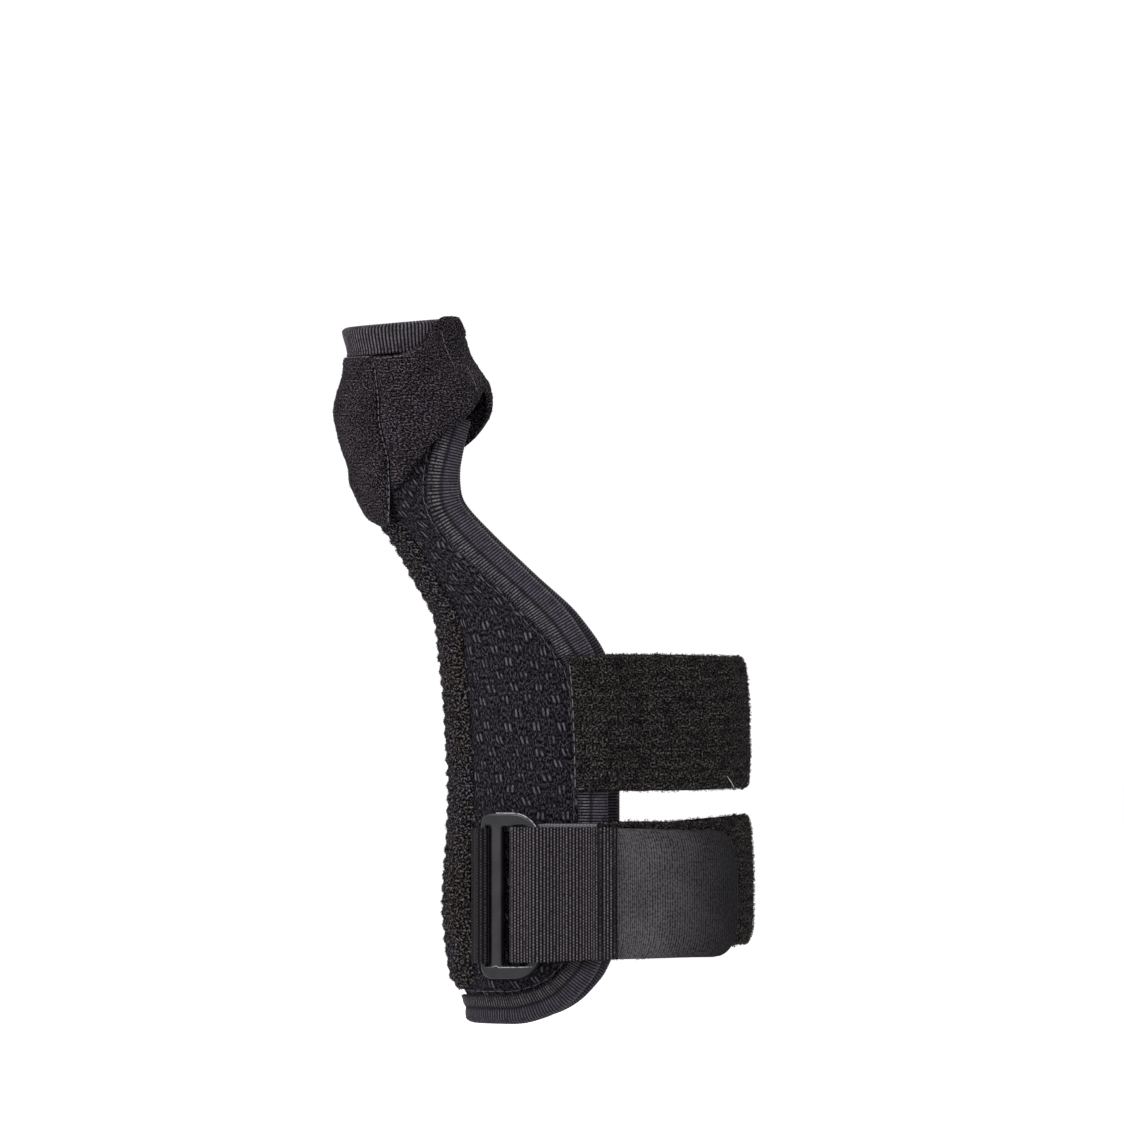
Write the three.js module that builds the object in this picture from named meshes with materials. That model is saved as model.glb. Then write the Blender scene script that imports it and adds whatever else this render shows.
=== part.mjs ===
// Thumb spica splint for a right hand, in its worn form with nothing inside it. Millimetres.
// The origin is the middle of the wrist. +Z runs towards the fingers, -X is the thumb side,
// -Y is the back of the hand. The forearm end is at the bottom and the thumb rim at the top.
//
// Every cloth piece lies on one form: a stack of ellipses that leads from the forearm to the thumb.
// A place on it is an angle (0 on the thumb side, 90 on the back of the hand, 180 on the little finger
// side, negative on the palm side), a height z, and a lift above the skin.
import * as THREE from "three";
import { mergeVertices } from "three/addons/utils/BufferGeometryUtils.js";

// The form
const FOREARM_LENGTH = 83; // wrist centre to the panel's lower edge
const THUMB_LENGTH = 111; // wrist centre to the panel's upper rim
const WRIST_HALF_WIDTH = 38.6;
const WRIST_HALF_DEPTH = 26;
const THUMB_HALF_WIDTH = 12.8;
const THUMB_HALF_DEPTH = 12.6;
const THUMB_AXIS_X = -57.1;
const THUMB_AXIS_Y = 9;
const RIM_TILT = 1.2; // how far the thumb rim rises towards the fingers' side, and falls on the other

// Cloth
const CLEARANCE = 0.35; // between pieces that touch on the real splint
const TAPE_CLEARANCE = 0.5; // inside a folded tape
const STRAP_SLACK = 0.1; // more room where a strap crosses the tape
const PANEL_THICKNESS = 3;
const THUMB_PANEL_THICKNESS = 2.2;
const POCKET_THICKNESS = 2.5;
const THUMB_COVER_THICKNESS = 2.2; // lobe and flap
const TAPE_THICKNESS = 1;
const EDGE_TAPE_WIDTH = 6.8; // on each face of the panel
const THUMB_TAPE_WIDTH = 6.5;

// Straps
const STRAP_WIDTH = 38;
const PILE_THICKNESS = 2.2;
const WEBBING_THICKNESS = 1.3;
const HOOK_THICKNESS = 1.2;
const WRIST_STRAP_Z = 0;
const FOREARM_STRAP_Z = -0.5843 * FOREARM_LENGTH;
const FOREARM_STRAP_RISE = 2.6; // the pile strap climbs this far from the buckle to the far side
const HOOK_CORNER_RADIUS = 9;

// Slide buckle
const BUCKLE_ANGLE = 56;
const BUCKLE_THICKNESS = 2.6;
const BUCKLE_END_BAR = 3.8;
const BUCKLE_SLOT_CLEARANCE = 0.5; // at each edge of the webbing
const BUCKLE_RIGHT_BAR = 3.6;
const BUCKLE_WIDE_SLOT = 8.3;
const BUCKLE_MIDDLE_BAR = 3.4;
const BUCKLE_LEFT_BAR = 1.2;
const BUCKLE_MIDDLE_BAR_X = -5.7; // centre of the middle bar, from the buckle's resting point
const BUCKLE_ROUND_CORNER = 2.2;
const BUCKLE_CUT_CORNER = 6.2;
const BUCKLE_BEVEL = 0.45;
const TAB_THICKNESS = 1.1;

// Heights are shares of the forearm length below the wrist and of the thumb length above it.
// across and behind: the centre's share of the way from the wrist's axis to the thumb's.
// width and depth: the share of the way from the wrist's half size to the thumb's.
const SECTIONS = [
  { height: -1.0, across: -0.03, behind: 0, width: 0.11, depth: 0.04 },
  { height: -0.84, across: -0.006, behind: 0, width: 0.02, depth: -0.02 },
  { height: -0.6, across: 0, behind: 0, width: -0.035, depth: -0.02 },
  { height: -0.25, across: -0.002, behind: 0, width: 0.01, depth: 0 },
  { height: 0.0, across: 0.006, behind: 0, width: 0, depth: 0 },
  { height: 0.157, across: 0.028, behind: 0.03, width: -0.008, depth: 0.075 },
  { height: 0.258, across: 0.116, behind: 0.11, width: 0.129, depth: 0.15 },
  { height: 0.36, across: 0.31, behind: 0.28, width: 0.327, depth: 0.26 },
  { height: 0.462, across: 0.519, behind: 0.47, width: 0.536, depth: 0.4 },
  { height: 0.563, across: 0.729, behind: 0.63, width: 0.669, depth: 0.54 },
  { height: 0.662, across: 0.857, behind: 0.78, width: 0.75, depth: 0.66 },
  { height: 0.764, across: 0.917, behind: 0.89, width: 0.745, depth: 0.75 },
  { height: 0.85, across: 0.956, behind: 0.955, width: 0.863, depth: 0.85 },
  { height: 0.946, across: 0.991, behind: 1, width: 1.03, depth: 0.97 },
  { height: 1.0, across: 1, behind: 1, width: 1, depth: 1 },
];

// The panel's open edges, in degrees. Above the last but one row it closes round the thumb,
// and its two edges meet at a butt seam on the side of the web.
const SEAM_ANGLE = 179.1;
const EDGES = [
  { height: -1.0, dorsal: 48, palmar: -53 },
  { height: -0.985, dorsal: 57, palmar: -62 },
  { height: -0.965, dorsal: 65, palmar: -70 },
  { height: -0.93, dorsal: 73, palmar: -78 },
  { height: -0.87, dorsal: 81, palmar: -86 },
  { height: -0.78, dorsal: 87.5, palmar: -92 },
  { height: -0.6, dorsal: 89, palmar: -94 },
  { height: -0.1, dorsal: 89, palmar: -94 },
  { height: 0.1, dorsal: 88.5, palmar: -93 },
  { height: 0.17, dorsal: 86.5, palmar: -91 },
  { height: 0.258, dorsal: 84, palmar: -88 },
  { height: 0.36, dorsal: 83.5, palmar: -86 },
  { height: 0.462, dorsal: 81.5, palmar: -85 },
  { height: 0.563, dorsal: 88, palmar: -90 },
  { height: 0.61, dorsal: 98, palmar: -99 },
  { height: 0.662, dorsal: 110, palmar: -110 },
  { height: 0.764, dorsal: 129, palmar: -129 },
  { height: 0.81, dorsal: 142, palmar: -142 },
  { height: 0.845, dorsal: 161, palmar: -161 },
  { height: 0.866, dorsal: SEAM_ANGLE, palmar: -SEAM_ANGLE },
  { height: 1.0, dorsal: SEAM_ANGLE, palmar: -SEAM_ANGLE },
];
const TAPE_TOP_HEIGHT = 0.764; // the edge tape ends here, under the thumb flap

// The stay pocket: half its width in degrees and its thickness as a share, up its length.
const POCKET = [
  { height: -0.905, spread: 9, fill: 0.45 },
  { height: -0.895, spread: 18, fill: 0.7 },
  { height: -0.87, spread: 25, fill: 0.9 },
  { height: -0.8, spread: 28, fill: 1 },
  { height: -0.25, spread: 27, fill: 0.85 },
  { height: 0.15, spread: 26, fill: 1 },
  { height: 0.36, spread: 29, fill: 0.95 },
  { height: 0.5, spread: 30, fill: 1 },
  { height: 0.59, spread: 28, fill: 0.85 },
];

// The seam between the thumb's lobe and flap, and the lobe's lower end round the thumb.
const LOBE_SEAM = [
  { height: 0.48, angle: 20 },
  { height: 0.53, angle: 27 },
  { height: 0.57, angle: 34 },
  { height: 0.64, angle: 47 },
  { height: 0.7, angle: 55 },
  { height: 0.82, angle: 55 },
  { height: 0.935, angle: 50 },
];
const LOBE_PALM_ANGLE = -72;
// across: share of the way from the palm side seam to the front seam
const LOBE_END = [
  { across: 0, height: 0.6 },
  { across: 0.3, height: 0.556 },
  { across: 0.55, height: 0.53 },
  { across: 0.8, height: 0.5 },
  { across: 0.93, height: 0.497 },
  { across: 1, height: 0.506 },
];

// The flap's lower and upper edges, from the front seam (0) to the seam on the palm side (1).
const FLAP = [
  { across: 0, low: 0.597, high: 0.93 },
  { across: 0.12, low: 0.642, high: 0.934 },
  { across: 0.19, low: 0.682, high: 0.948 },
  { across: 0.26, low: 0.735, high: 0.972 },
  { across: 0.33, low: 0.78, high: 0.982 },
  { across: 0.41, low: 0.828, high: 0.978 },
  { across: 0.5, low: 0.852, high: 0.972 },
  { across: 0.59, low: 0.828, high: 0.978 },
  { across: 0.67, low: 0.78, high: 0.98 },
  { across: 0.8, low: 0.7, high: 0.98 },
  { across: 1, low: 0.63, high: 0.98 },
];
const SEAM_GAP = 1.2; // degrees between lobe and flap

// The flap rises over the edge tapes and the thumb tape.
const FLAP_DORSAL_RISE_ANGLES = { from: 60, to: 78 };
const FLAP_PALMAR_RISE_ANGLES = { from: 302, to: 282 };
const FLAP_TOP_RISE_HEIGHTS = { from: 0.885, to: 0.93 };

// Where the straps lie, in degrees round the form.
const WRIST_STRAP_ANGLES = { dorsal: 77, palmar: 285 };
const FOREARM_STRAP_ANGLES = { dorsal: 88.6, palmar: 288 };
const FOREARM_STRAP_CLIMB_ANGLES = { from: 90, to: 170 };
const FOREARM_STRAP_DESCENT_ANGLES = { from: 280, to: 190 };
const HOOK_ANGLES = { start: 89.5, tip: 152 };
const STEP_OFF_PANEL_ANGLES = { from: 93, to: 108 }; // the straps come down from the panel to the skin
const STEP_ON_PANEL_ANGLES = { from: 251, to: 264 };
const WEBBING_LOWER_ANGLES = [87.4, 84, 80, 76, 72, 69, 66];
const WEBBING_UPPER_ANGLES = [74, 77, 80, 83, 86, 88.5, 91, 93, 95.5];
const WEBBING_OVER_TAPE_ANGLES = { from: 66, to: 75 };
const WEBBING_ONTO_HOOK_ANGLES = { from: 84, to: 89 };

const degrees = THREE.MathUtils.degToRad;
const mix = THREE.MathUtils.lerp;
const clamp = THREE.MathUtils.clamp;
// 0 at from, 1 at to, with a soft start and end; from may be the larger one
const smooth = (x, from, to) => {
  const t = clamp((x - from) / (to - from), 0, 1);
  return t * t * (3 - 2 * t);
};
const ramp = (x, ends) => smooth(x, ends.from, ends.to);
const zOf = (height) => height * (height < 0 ? FOREARM_LENGTH : THUMB_LENGTH);
const heightOf = (z) => z / (z < 0 ? FOREARM_LENGTH : THUMB_LENGTH);

// A table's column as a smooth curve of another column. It never overshoots its rows.
function column(table, key, name) {
  const x = table.map((row) => row[key]);
  const y = table.map((row) => row[name]);
  const rise = x.slice(1).map((right, i) => (y[i + 1] - y[i]) / (right - x[i]));
  const slope = y.map((value, i) => {
    if (i === 0 || i === y.length - 1 || rise[i - 1] * rise[i] <= 0) return 0;
    return (2 * rise[i - 1] * rise[i]) / (rise[i - 1] + rise[i]);
  });
  return (at) => {
    const inside = clamp(at, x[0], x[x.length - 1]);
    const i = Math.min(x.findLastIndex((start) => start <= inside), x.length - 2);
    const step = x[i + 1] - x[i];
    const t = (inside - x[i]) / step;
    const bend = t * t * (3 - 2 * t);
    const lean = step * t * (1 - t) * (slope[i] * (1 - t) - slope[i + 1] * t);
    return mix(y[i], y[i + 1], bend) + lean;
  };
}

const across = column(SECTIONS, "height", "across");
const behind = column(SECTIONS, "height", "behind");
const width = column(SECTIONS, "height", "width");
const depth = column(SECTIONS, "height", "depth");
const dorsalEdge = column(EDGES, "height", "dorsal");
const palmarEdge = column(EDGES, "height", "palmar");

function sectionAt(z) {
  const height = heightOf(z);
  return {
    x: THUMB_AXIS_X * across(height),
    y: THUMB_AXIS_Y * behind(height),
    halfWidth: mix(WRIST_HALF_WIDTH, THUMB_HALF_WIDTH, width(height)),
    halfDepth: mix(WRIST_HALF_DEPTH, THUMB_HALF_DEPTH, depth(height)),
  };
}

// A point on the form, lifted along its section's outward direction.
function onForm(angle, z, lift) {
  const s = sectionAt(z);
  const c = Math.cos(degrees(angle));
  const n = Math.sin(degrees(angle));
  const out = new THREE.Vector2(c / s.halfWidth, n / s.halfDepth).normalize();
  return new THREE.Vector3(
    s.x - s.halfWidth * c - lift * out.x,
    s.y - s.halfDepth * n - lift * out.y,
    z,
  );
}

// The panel thins from the neck to the thumb.
const panelThickness = (z) =>
  mix(PANEL_THICKNESS, THUMB_PANEL_THICKNESS, smooth(heightOf(z), 0.3, 0.75));

// The thumb rim's tilt, which fades out below the thumb.
const rimTilt = (angle, z) =>
  -RIM_TILT * Math.cos(degrees(angle)) * smooth(heightOf(z), 0.86, 1);

// Moves a closed geometry's corners with place(x, y, z) and makes its faces point out.
function reshape(geometry, place) {
  const source = geometry.getAttribute("position");
  const moved = new Float32Array(source.count * 3);
  const corner = new THREE.Vector3();
  for (let i = 0; i < source.count; i++) {
    corner.fromBufferAttribute(source, i);
    place(corner.x, corner.y, corner.z).toArray(moved, 3 * i);
  }
  geometry.setAttribute("position", new THREE.BufferAttribute(moved, 3));
  geometry.deleteAttribute("normal");
  geometry.deleteAttribute("uv");
  const merged = mergeVertices(geometry, 1e-3);
  if (signedVolume(merged) < 0) {
    const index = merged.index.array;
    for (let i = 0; i < index.length; i += 3) {
      [index[i + 1], index[i + 2]] = [index[i + 2], index[i + 1]];
    }
  }
  merged.computeVertexNormals();
  return merged;
}

function signedVolume(geometry) {
  const position = geometry.getAttribute("position");
  const index = geometry.index.array;
  const [a, b, c] = [new THREE.Vector3(), new THREE.Vector3(), new THREE.Vector3()];
  let sixfold = 0;
  for (let i = 0; i < index.length; i += 3) {
    a.fromBufferAttribute(position, index[i]);
    b.fromBufferAttribute(position, index[i + 1]);
    c.fromBufferAttribute(position, index[i + 2]);
    sixfold += a.dot(b.cross(c));
  }
  return sixfold / 6;
}

// A sheet with thickness: place(u, v, w) has u and v along it and w through it, each 0 to 1.
function sheet(columns, rows, place) {
  const block = new THREE.BoxGeometry(1, 1, 1, columns, rows, 1);
  return reshape(block, (x, y, z) => place(x + 0.5, y + 0.5, z + 0.5));
}

// A sheet's row heights: its table's rows, the form's sections between them, and one more row
// in each long step above the wrist, where the form bends.
const CLOSE_ROWS = 0.02;
const LONG_STEP = 0.079;
function rowHeights(table) {
  const own = table.map((row) => row.height);
  const inside = SECTIONS.map((row) => row.height).filter(
    (height) =>
      height > own[0] &&
      height < own[own.length - 1] &&
      own.every((mark) => Math.abs(mark - height) >= CLOSE_ROWS),
  );
  const rows = [...own, ...inside].sort((a, b) => a - b);
  return rows.flatMap((height, i) => {
    const next = rows[i + 1];
    return height >= 0 && next - height > LONG_STEP ? [height, (height + next) / 2] : [height];
  });
}

// The shares across a sheet: even steps, with one narrow step beside each edge.
function edgedShares(steps, narrow) {
  const middle = Array.from({ length: steps + 1 }, (_, i) => mix(narrow, 1 - narrow, i / steps));
  return [0, ...middle, 1];
}

// The panel is pinched under its tape: the share of its thickness that is left at the open edge
const PINCHED_EDGE = 0.6;
const PANEL_COLUMNS = edgedShares(20, 0.018);
const PANEL_ROWS = rowHeights(EDGES);
function bodyPanel() {
  return sheet(PANEL_COLUMNS.length - 1, PANEL_ROWS.length - 1, (u, v, w) => {
    const height = PANEL_ROWS[Math.round(v * (PANEL_ROWS.length - 1))];
    const share = PANEL_COLUMNS[Math.round(u * (PANEL_COLUMNS.length - 1))];
    const angle = mix(palmarEdge(height), dorsalEdge(height), share);
    const z = zOf(height);
    const atEdge = share === 0 || share === 1 || height === -1 || height === 1;
    const lift = atEdge ? mix(0.5, w, PINCHED_EDGE) : w;
    return onForm(angle, z + rimTilt(angle, z), lift * panelThickness(z));
  });
}

function stayPocket() {
  const rows = rowHeights(POCKET);
  const spread = column(POCKET, "height", "spread");
  const fill = column(POCKET, "height", "fill");
  return sheet(8, rows.length - 1, (u, v, w) => {
    const height = rows[Math.round(v * (rows.length - 1))];
    const z = zOf(height);
    const side = 2 * u - 1;
    const thickness = POCKET_THICKNESS * fill(height) * (1 - 0.55 * side ** 4);
    return onForm(side * spread(height), z, panelThickness(z) + CLEARANCE + w * thickness);
  });
}

// The open edge of the panel as one path: down the back of the hand, along the forearm end, up the palm.
function edgePath() {
  const side = PANEL_ROWS.filter((height) => height < TAPE_TOP_HEIGHT);
  side.push(TAPE_TOP_HEIGHT);
  const forearmSteps = 8;
  const forearmEnd = Array.from({ length: forearmSteps - 1 }, (_, i) => ({
    height: -1,
    angle: mix(dorsalEdge(-1), palmarEdge(-1), (i + 1) / forearmSteps),
  }));
  return [
    ...[...side].reverse().map((height) => ({ height, angle: dorsalEdge(height) })),
    ...forearmEnd,
    ...side.map((height) => ({ height, angle: palmarEdge(height) })),
  ];
}

// One unit step on the form, square to the panel's edge and into the panel, in degrees and in z.
function inwardStep(path, i) {
  const place = (p) => onForm(p.angle, zOf(p.height), 0);
  const here = path[i];
  const along = place(path[Math.min(i + 1, path.length - 1)])
    .sub(place(path[Math.max(i - 1, 0)]))
    .normalize();
  const z = zOf(here.height);
  const small = 0.5;
  const byAngle = onForm(here.angle + small, z, 0)
    .sub(onForm(here.angle - small, z, 0))
    .divideScalar(2 * small);
  const byZ = onForm(here.angle, z + small, 0)
    .sub(onForm(here.angle, z - small, 0))
    .divideScalar(2 * small);
  const outward = byAngle.clone().cross(byZ).normalize();
  const inward = along.clone().cross(outward).normalize();
  // Solves inward = angle * byAngle + z * byZ on the surface
  const [aa, ab, bb] = [byAngle.dot(byAngle), byAngle.dot(byZ), byZ.dot(byZ)];
  const [pa, pb] = [inward.dot(byAngle), inward.dot(byZ)];
  const scale = aa * bb - ab * ab;
  return { angle: (pa * bb - pb * ab) / scale, z: (pb * aa - pa * ab) / scale };
}

// A folded tape's section: w from its inner to its outer side, v from the outer hem round to the inner hem.
// It gives the distance into the panel from the edge, and the lift.
const TAPE_LEG_STEPS = 2;
const TAPE_FOLD_STEPS = 4;
const TAPE_SECTION_STEPS = 2 * TAPE_LEG_STEPS + TAPE_FOLD_STEPS;
function tapeSection(v, w, tapeWidth, thickness) {
  const middle = thickness / 2;
  const reach = middle + TAPE_CLEARANCE + w * TAPE_THICKNESS;
  const step = v * TAPE_SECTION_STEPS - TAPE_LEG_STEPS;
  const turn = degrees(90 - clamp((180 * step) / TAPE_FOLD_STEPS, 0, 180));
  const onLeg = Math.max(-step, step - TAPE_FOLD_STEPS, 0) / TAPE_LEG_STEPS;
  return {
    inward: onLeg * tapeWidth - (reach - middle) * Math.cos(turn),
    lift: middle + reach * Math.sin(turn),
  };
}

function edgeBinding() {
  const path = edgePath();
  const steps = path.map((_, i) => inwardStep(path, i));
  return sheet(path.length - 1, TAPE_SECTION_STEPS, (u, v, w) => {
    const i = Math.round(u * (path.length - 1));
    const z = zOf(path[i].height);
    const fold = tapeSection(v, w, EDGE_TAPE_WIDTH, panelThickness(z));
    const angle = path[i].angle + fold.inward * steps[i].angle;
    return onForm(angle, z + fold.inward * steps[i].z, fold.lift);
  });
}

function thumbBinding() {
  const outline = [];
  for (const w of [0, 1]) {
    for (let step = 0; step <= TAPE_SECTION_STEPS; step++) {
      const v = (w ? TAPE_SECTION_STEPS - step : step) / TAPE_SECTION_STEPS;
      const fold = tapeSection(v, w, THUMB_TAPE_WIDTH, THUMB_PANEL_THICKNESS);
      outline.push(new THREE.Vector2(THUMB_LENGTH + fold.lift, -fold.inward));
    }
  }
  outline.push(outline[0].clone());
  const ring = new THREE.LatheGeometry(outline, 28);
  return reshape(ring, (x, y, z) => {
    const angle = THREE.MathUtils.radToDeg(Math.atan2(z, x));
    const lift = Math.hypot(x, z) - THUMB_LENGTH;
    return onForm(angle, THUMB_LENGTH + y + rimTilt(angle, THUMB_LENGTH), lift);
  });
}

// The lobe lies on the panel, and over the pocket's top end.
function lobeLift(angle, height) {
  const overPocket = smooth(height, 0.645, 0.6) * smooth(Math.abs(angle), 50, 34);
  return panelThickness(zOf(height)) + CLEARANCE + overPocket * (POCKET_THICKNESS + CLEARANCE);
}

function thumbLobe() {
  const top = LOBE_SEAM[LOBE_SEAM.length - 1].height;
  const seam = column(LOBE_SEAM, "height", "angle");
  const end = column(LOBE_END, "across", "height");
  return sheet(12, 12, (u, v, w) => {
    const height = mix(end(u), top, v);
    const angle = mix(LOBE_PALM_ANGLE, seam(height) - SEAM_GAP, u);
    const z = zOf(height);
    const lift = lobeLift(angle, height) + w * THUMB_COVER_THICKNESS;
    return onForm(angle, z + rimTilt(angle, z), lift);
  });
}

// The flap lies on the panel at the front, and on the tapes round the web and near the rim.
function flapLift(angle, height) {
  const onEdgeTape = ramp(angle, FLAP_DORSAL_RISE_ANGLES) * ramp(angle, FLAP_PALMAR_RISE_ANGLES);
  const onThumbTape = ramp(height, FLAP_TOP_RISE_HEIGHTS);
  const overTape = Math.max(onEdgeTape, onThumbTape) * (TAPE_THICKNESS + TAPE_CLEARANCE);
  return panelThickness(zOf(height)) + CLEARANCE + overTape;
}

function thumbFlap() {
  const seam = column(LOBE_SEAM, "height", "angle");
  const low = column(FLAP, "across", "low");
  const high = column(FLAP, "across", "high");
  return sheet(24, 10, (u, v, w) => {
    const height = mix(low(u), high(u), v);
    const angle = mix(seam(height) + SEAM_GAP, 360 + LOBE_PALM_ANGLE - SEAM_GAP, u);
    const z = zOf(height);
    const lift = flapLift(angle, height) + w * THUMB_COVER_THICKNESS;
    return onForm(angle, z + rimTilt(angle, z), lift);
  });
}

// A strap's inner side: up on the panel and its tape at both ends, on the skin between them.
function strapLift(angle) {
  const onPanel = PANEL_THICKNESS + TAPE_CLEARANCE + TAPE_THICKNESS + CLEARANCE + STRAP_SLACK;
  const off = ramp(angle, STEP_OFF_PANEL_ANGLES);
  const on = ramp(angle, STEP_ON_PANEL_ANGLES);
  return mix(onPanel, CLEARANCE, off * (1 - on));
}

// The places round the form at which all straps have a row of corners
const STRAP_STEP = 5;
function strapAngles(from, to) {
  const first = Math.ceil(from / STRAP_STEP + 0.3);
  const last = Math.floor(to / STRAP_STEP - 0.3);
  const between = Array.from({ length: last - first + 1 }, (_, i) => (first + i) * STRAP_STEP);
  return [from, ...between, to];
}

function strap(ends, centre, rise) {
  const angles = strapAngles(ends.dorsal, ends.palmar);
  return sheet(angles.length - 1, 2, (u, v, w) => {
    const angle = angles[Math.round(u * (angles.length - 1))];
    const climb =
      rise * ramp(angle, FOREARM_STRAP_CLIMB_ANGLES) * ramp(angle, FOREARM_STRAP_DESCENT_ANGLES);
    const z = centre + (v - 0.5) * STRAP_WIDTH + climb;
    return onForm(angle, z, strapLift(angle) + w * PILE_THICKNESS);
  });
}

// The closing tab lies on the pile strap, with round corners at its tip.
const HOOK_ROWS = [-1, -0.93, -0.82, -0.68, -0.5, 0, 0.5, 0.68, 0.82, 0.93, 1]; // shares of half its width
function hookTab() {
  const half = STRAP_WIDTH / 2;
  const { start, tip } = HOOK_ANGLES;
  const length = onForm(start, FOREARM_STRAP_Z, 0).distanceTo(onForm(tip, FOREARM_STRAP_Z, 0));
  const cornerAngle = ((tip - start) * HOOK_CORNER_RADIUS) / length;
  const onSkin = STEP_OFF_PANEL_ANGLES.to;
  const angles = strapAngles(start, tip);
  return sheet(angles.length - 1, HOOK_ROWS.length - 1, (u, v, w) => {
    const side = HOOK_ROWS[Math.round(v * (HOOK_ROWS.length - 1))];
    const intoCorner = Math.max(0, Math.abs(side) * half - (half - HOOK_CORNER_RADIUS));
    const share = 1 - Math.sqrt(1 - (intoCorner / HOOK_CORNER_RADIUS) ** 2);
    const flatAngle = angles[Math.round(u * (angles.length - 1))];
    const stretch = clamp((flatAngle - onSkin) / (tip - onSkin), 0, 1);
    const angle = flatAngle - stretch * cornerAngle * share;
    const lift = strapLift(angle) + PILE_THICKNESS + CLEARANCE + w * HOOK_THICKNESS;
    return onForm(angle, FOREARM_STRAP_Z + side * half, lift);
  });
}

// The buckle's own frame: x across its bars towards the strap, y along them, z out of the panel.
const BUCKLE_FLOOR = CLEARANCE + WEBBING_THICKNESS + CLEARANCE;
const BUCKLE_MIDDLE_LEFT = BUCKLE_MIDDLE_BAR_X - BUCKLE_MIDDLE_BAR / 2;
const BUCKLE_MIDDLE_RIGHT = BUCKLE_MIDDLE_BAR_X + BUCKLE_MIDDLE_BAR / 2;
const BUCKLE_NARROW_LEFT = BUCKLE_MIDDLE_LEFT - TAB_THICKNESS - 2 * CLEARANCE;
const BUCKLE_LEFT = BUCKLE_NARROW_LEFT - BUCKLE_LEFT_BAR;
const BUCKLE_WIDE_RIGHT = BUCKLE_MIDDLE_RIGHT + BUCKLE_WIDE_SLOT;
const BUCKLE_RIGHT = BUCKLE_WIDE_RIGHT + BUCKLE_RIGHT_BAR;

function buckleFrame() {
  const seat = onForm(BUCKLE_ANGLE, FOREARM_STRAP_Z, PANEL_THICKNESS);
  const outside = onForm(BUCKLE_ANGLE, FOREARM_STRAP_Z, PANEL_THICKNESS + 1);
  const out = outside.sub(seat).normalize();
  const up = new THREE.Vector3(0, 0, 1);
  const along = up.clone().cross(out).normalize();
  return new THREE.Matrix4().makeBasis(along, up, out).setPosition(seat);
}

function roundedOutline(path, left, right, half, corners) {
  const { topLeft, topRight } = corners;
  path.moveTo(left + topLeft, -half);
  path.lineTo(right - topRight, -half);
  path.quadraticCurveTo(right - topRight * 0.2, -half, right, -half + topRight * 0.8);
  path.lineTo(right, half - topRight * 0.8);
  path.quadraticCurveTo(right - topRight * 0.2, half, right - topRight, half);
  path.lineTo(left + topLeft, half);
  path.quadraticCurveTo(left, half, left, half - topLeft);
  path.lineTo(left, -half + topLeft);
  path.quadraticCurveTo(left, -half, left + topLeft, -half);
  return path;
}

function slideBuckle() {
  const slotHalf = STRAP_WIDTH / 2 + BUCKLE_SLOT_CLEARANCE;
  const half = slotHalf + BUCKLE_END_BAR;
  const inset = BUCKLE_BEVEL;
  const small = { topLeft: 0.4, topRight: 0.4 };
  const outline = roundedOutline(
    new THREE.Shape(),
    BUCKLE_LEFT + inset,
    BUCKLE_RIGHT - inset,
    half - inset,
    { topLeft: BUCKLE_ROUND_CORNER, topRight: BUCKLE_CUT_CORNER },
  );
  const slots = [
    [BUCKLE_NARROW_LEFT - inset, BUCKLE_MIDDLE_LEFT + inset, small],
    [BUCKLE_MIDDLE_RIGHT - inset, BUCKLE_WIDE_RIGHT + inset, small],
  ];
  outline.holes = slots.map(([left, right, corners]) =>
    roundedOutline(new THREE.Path(), left, right, slotHalf + inset, corners),
  );
  const plate = new THREE.ExtrudeGeometry(outline, {
    depth: BUCKLE_THICKNESS - 2 * inset,
    curveSegments: 4,
    bevelEnabled: true,
    bevelThickness: inset,
    bevelSize: inset,
    bevelSegments: 1,
  });
  const place = buckleFrame();
  const lift = BUCKLE_FLOOR + inset;
  return reshape(plate, (x, y, z) => new THREE.Vector3(x, y, z + lift).applyMatrix4(place));
}

// A strip of webbing whose middle line runs through points of the plane, in the buckle's place.
function webbingStrip(points, steps, thickness) {
  const line = new THREE.SplineCurve(points);
  const left = [];
  const right = [];
  for (let i = 0; i <= steps; i++) {
    const here = line.getPoint(i / steps);
    const along = line.getTangent(i / steps);
    const side = new THREE.Vector2(-along.y, along.x).multiplyScalar(thickness / 2);
    left.push(here.clone().add(side));
    right.push(here.clone().sub(side));
  }
  const outline = new THREE.Shape([...left, ...right.reverse()]);
  const strip = new THREE.ExtrudeGeometry(outline, {
    depth: STRAP_WIDTH,
    bevelEnabled: false,
    steps: 2,
  });
  const bottom = FOREARM_STRAP_Z - STRAP_WIDTH / 2;
  return reshape(strip, (x, y, z) => new THREE.Vector3(x, y, bottom + z));
}

const flat = (point) => new THREE.Vector2(point.x, point.y);
const onStrapLevel = (angle, lift) => flat(onForm(angle, FOREARM_STRAP_Z, lift));
const inBuckle = (x, out) =>
  flat(new THREE.Vector3(x, 0, out).applyMatrix4(buckleFrame()));

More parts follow.
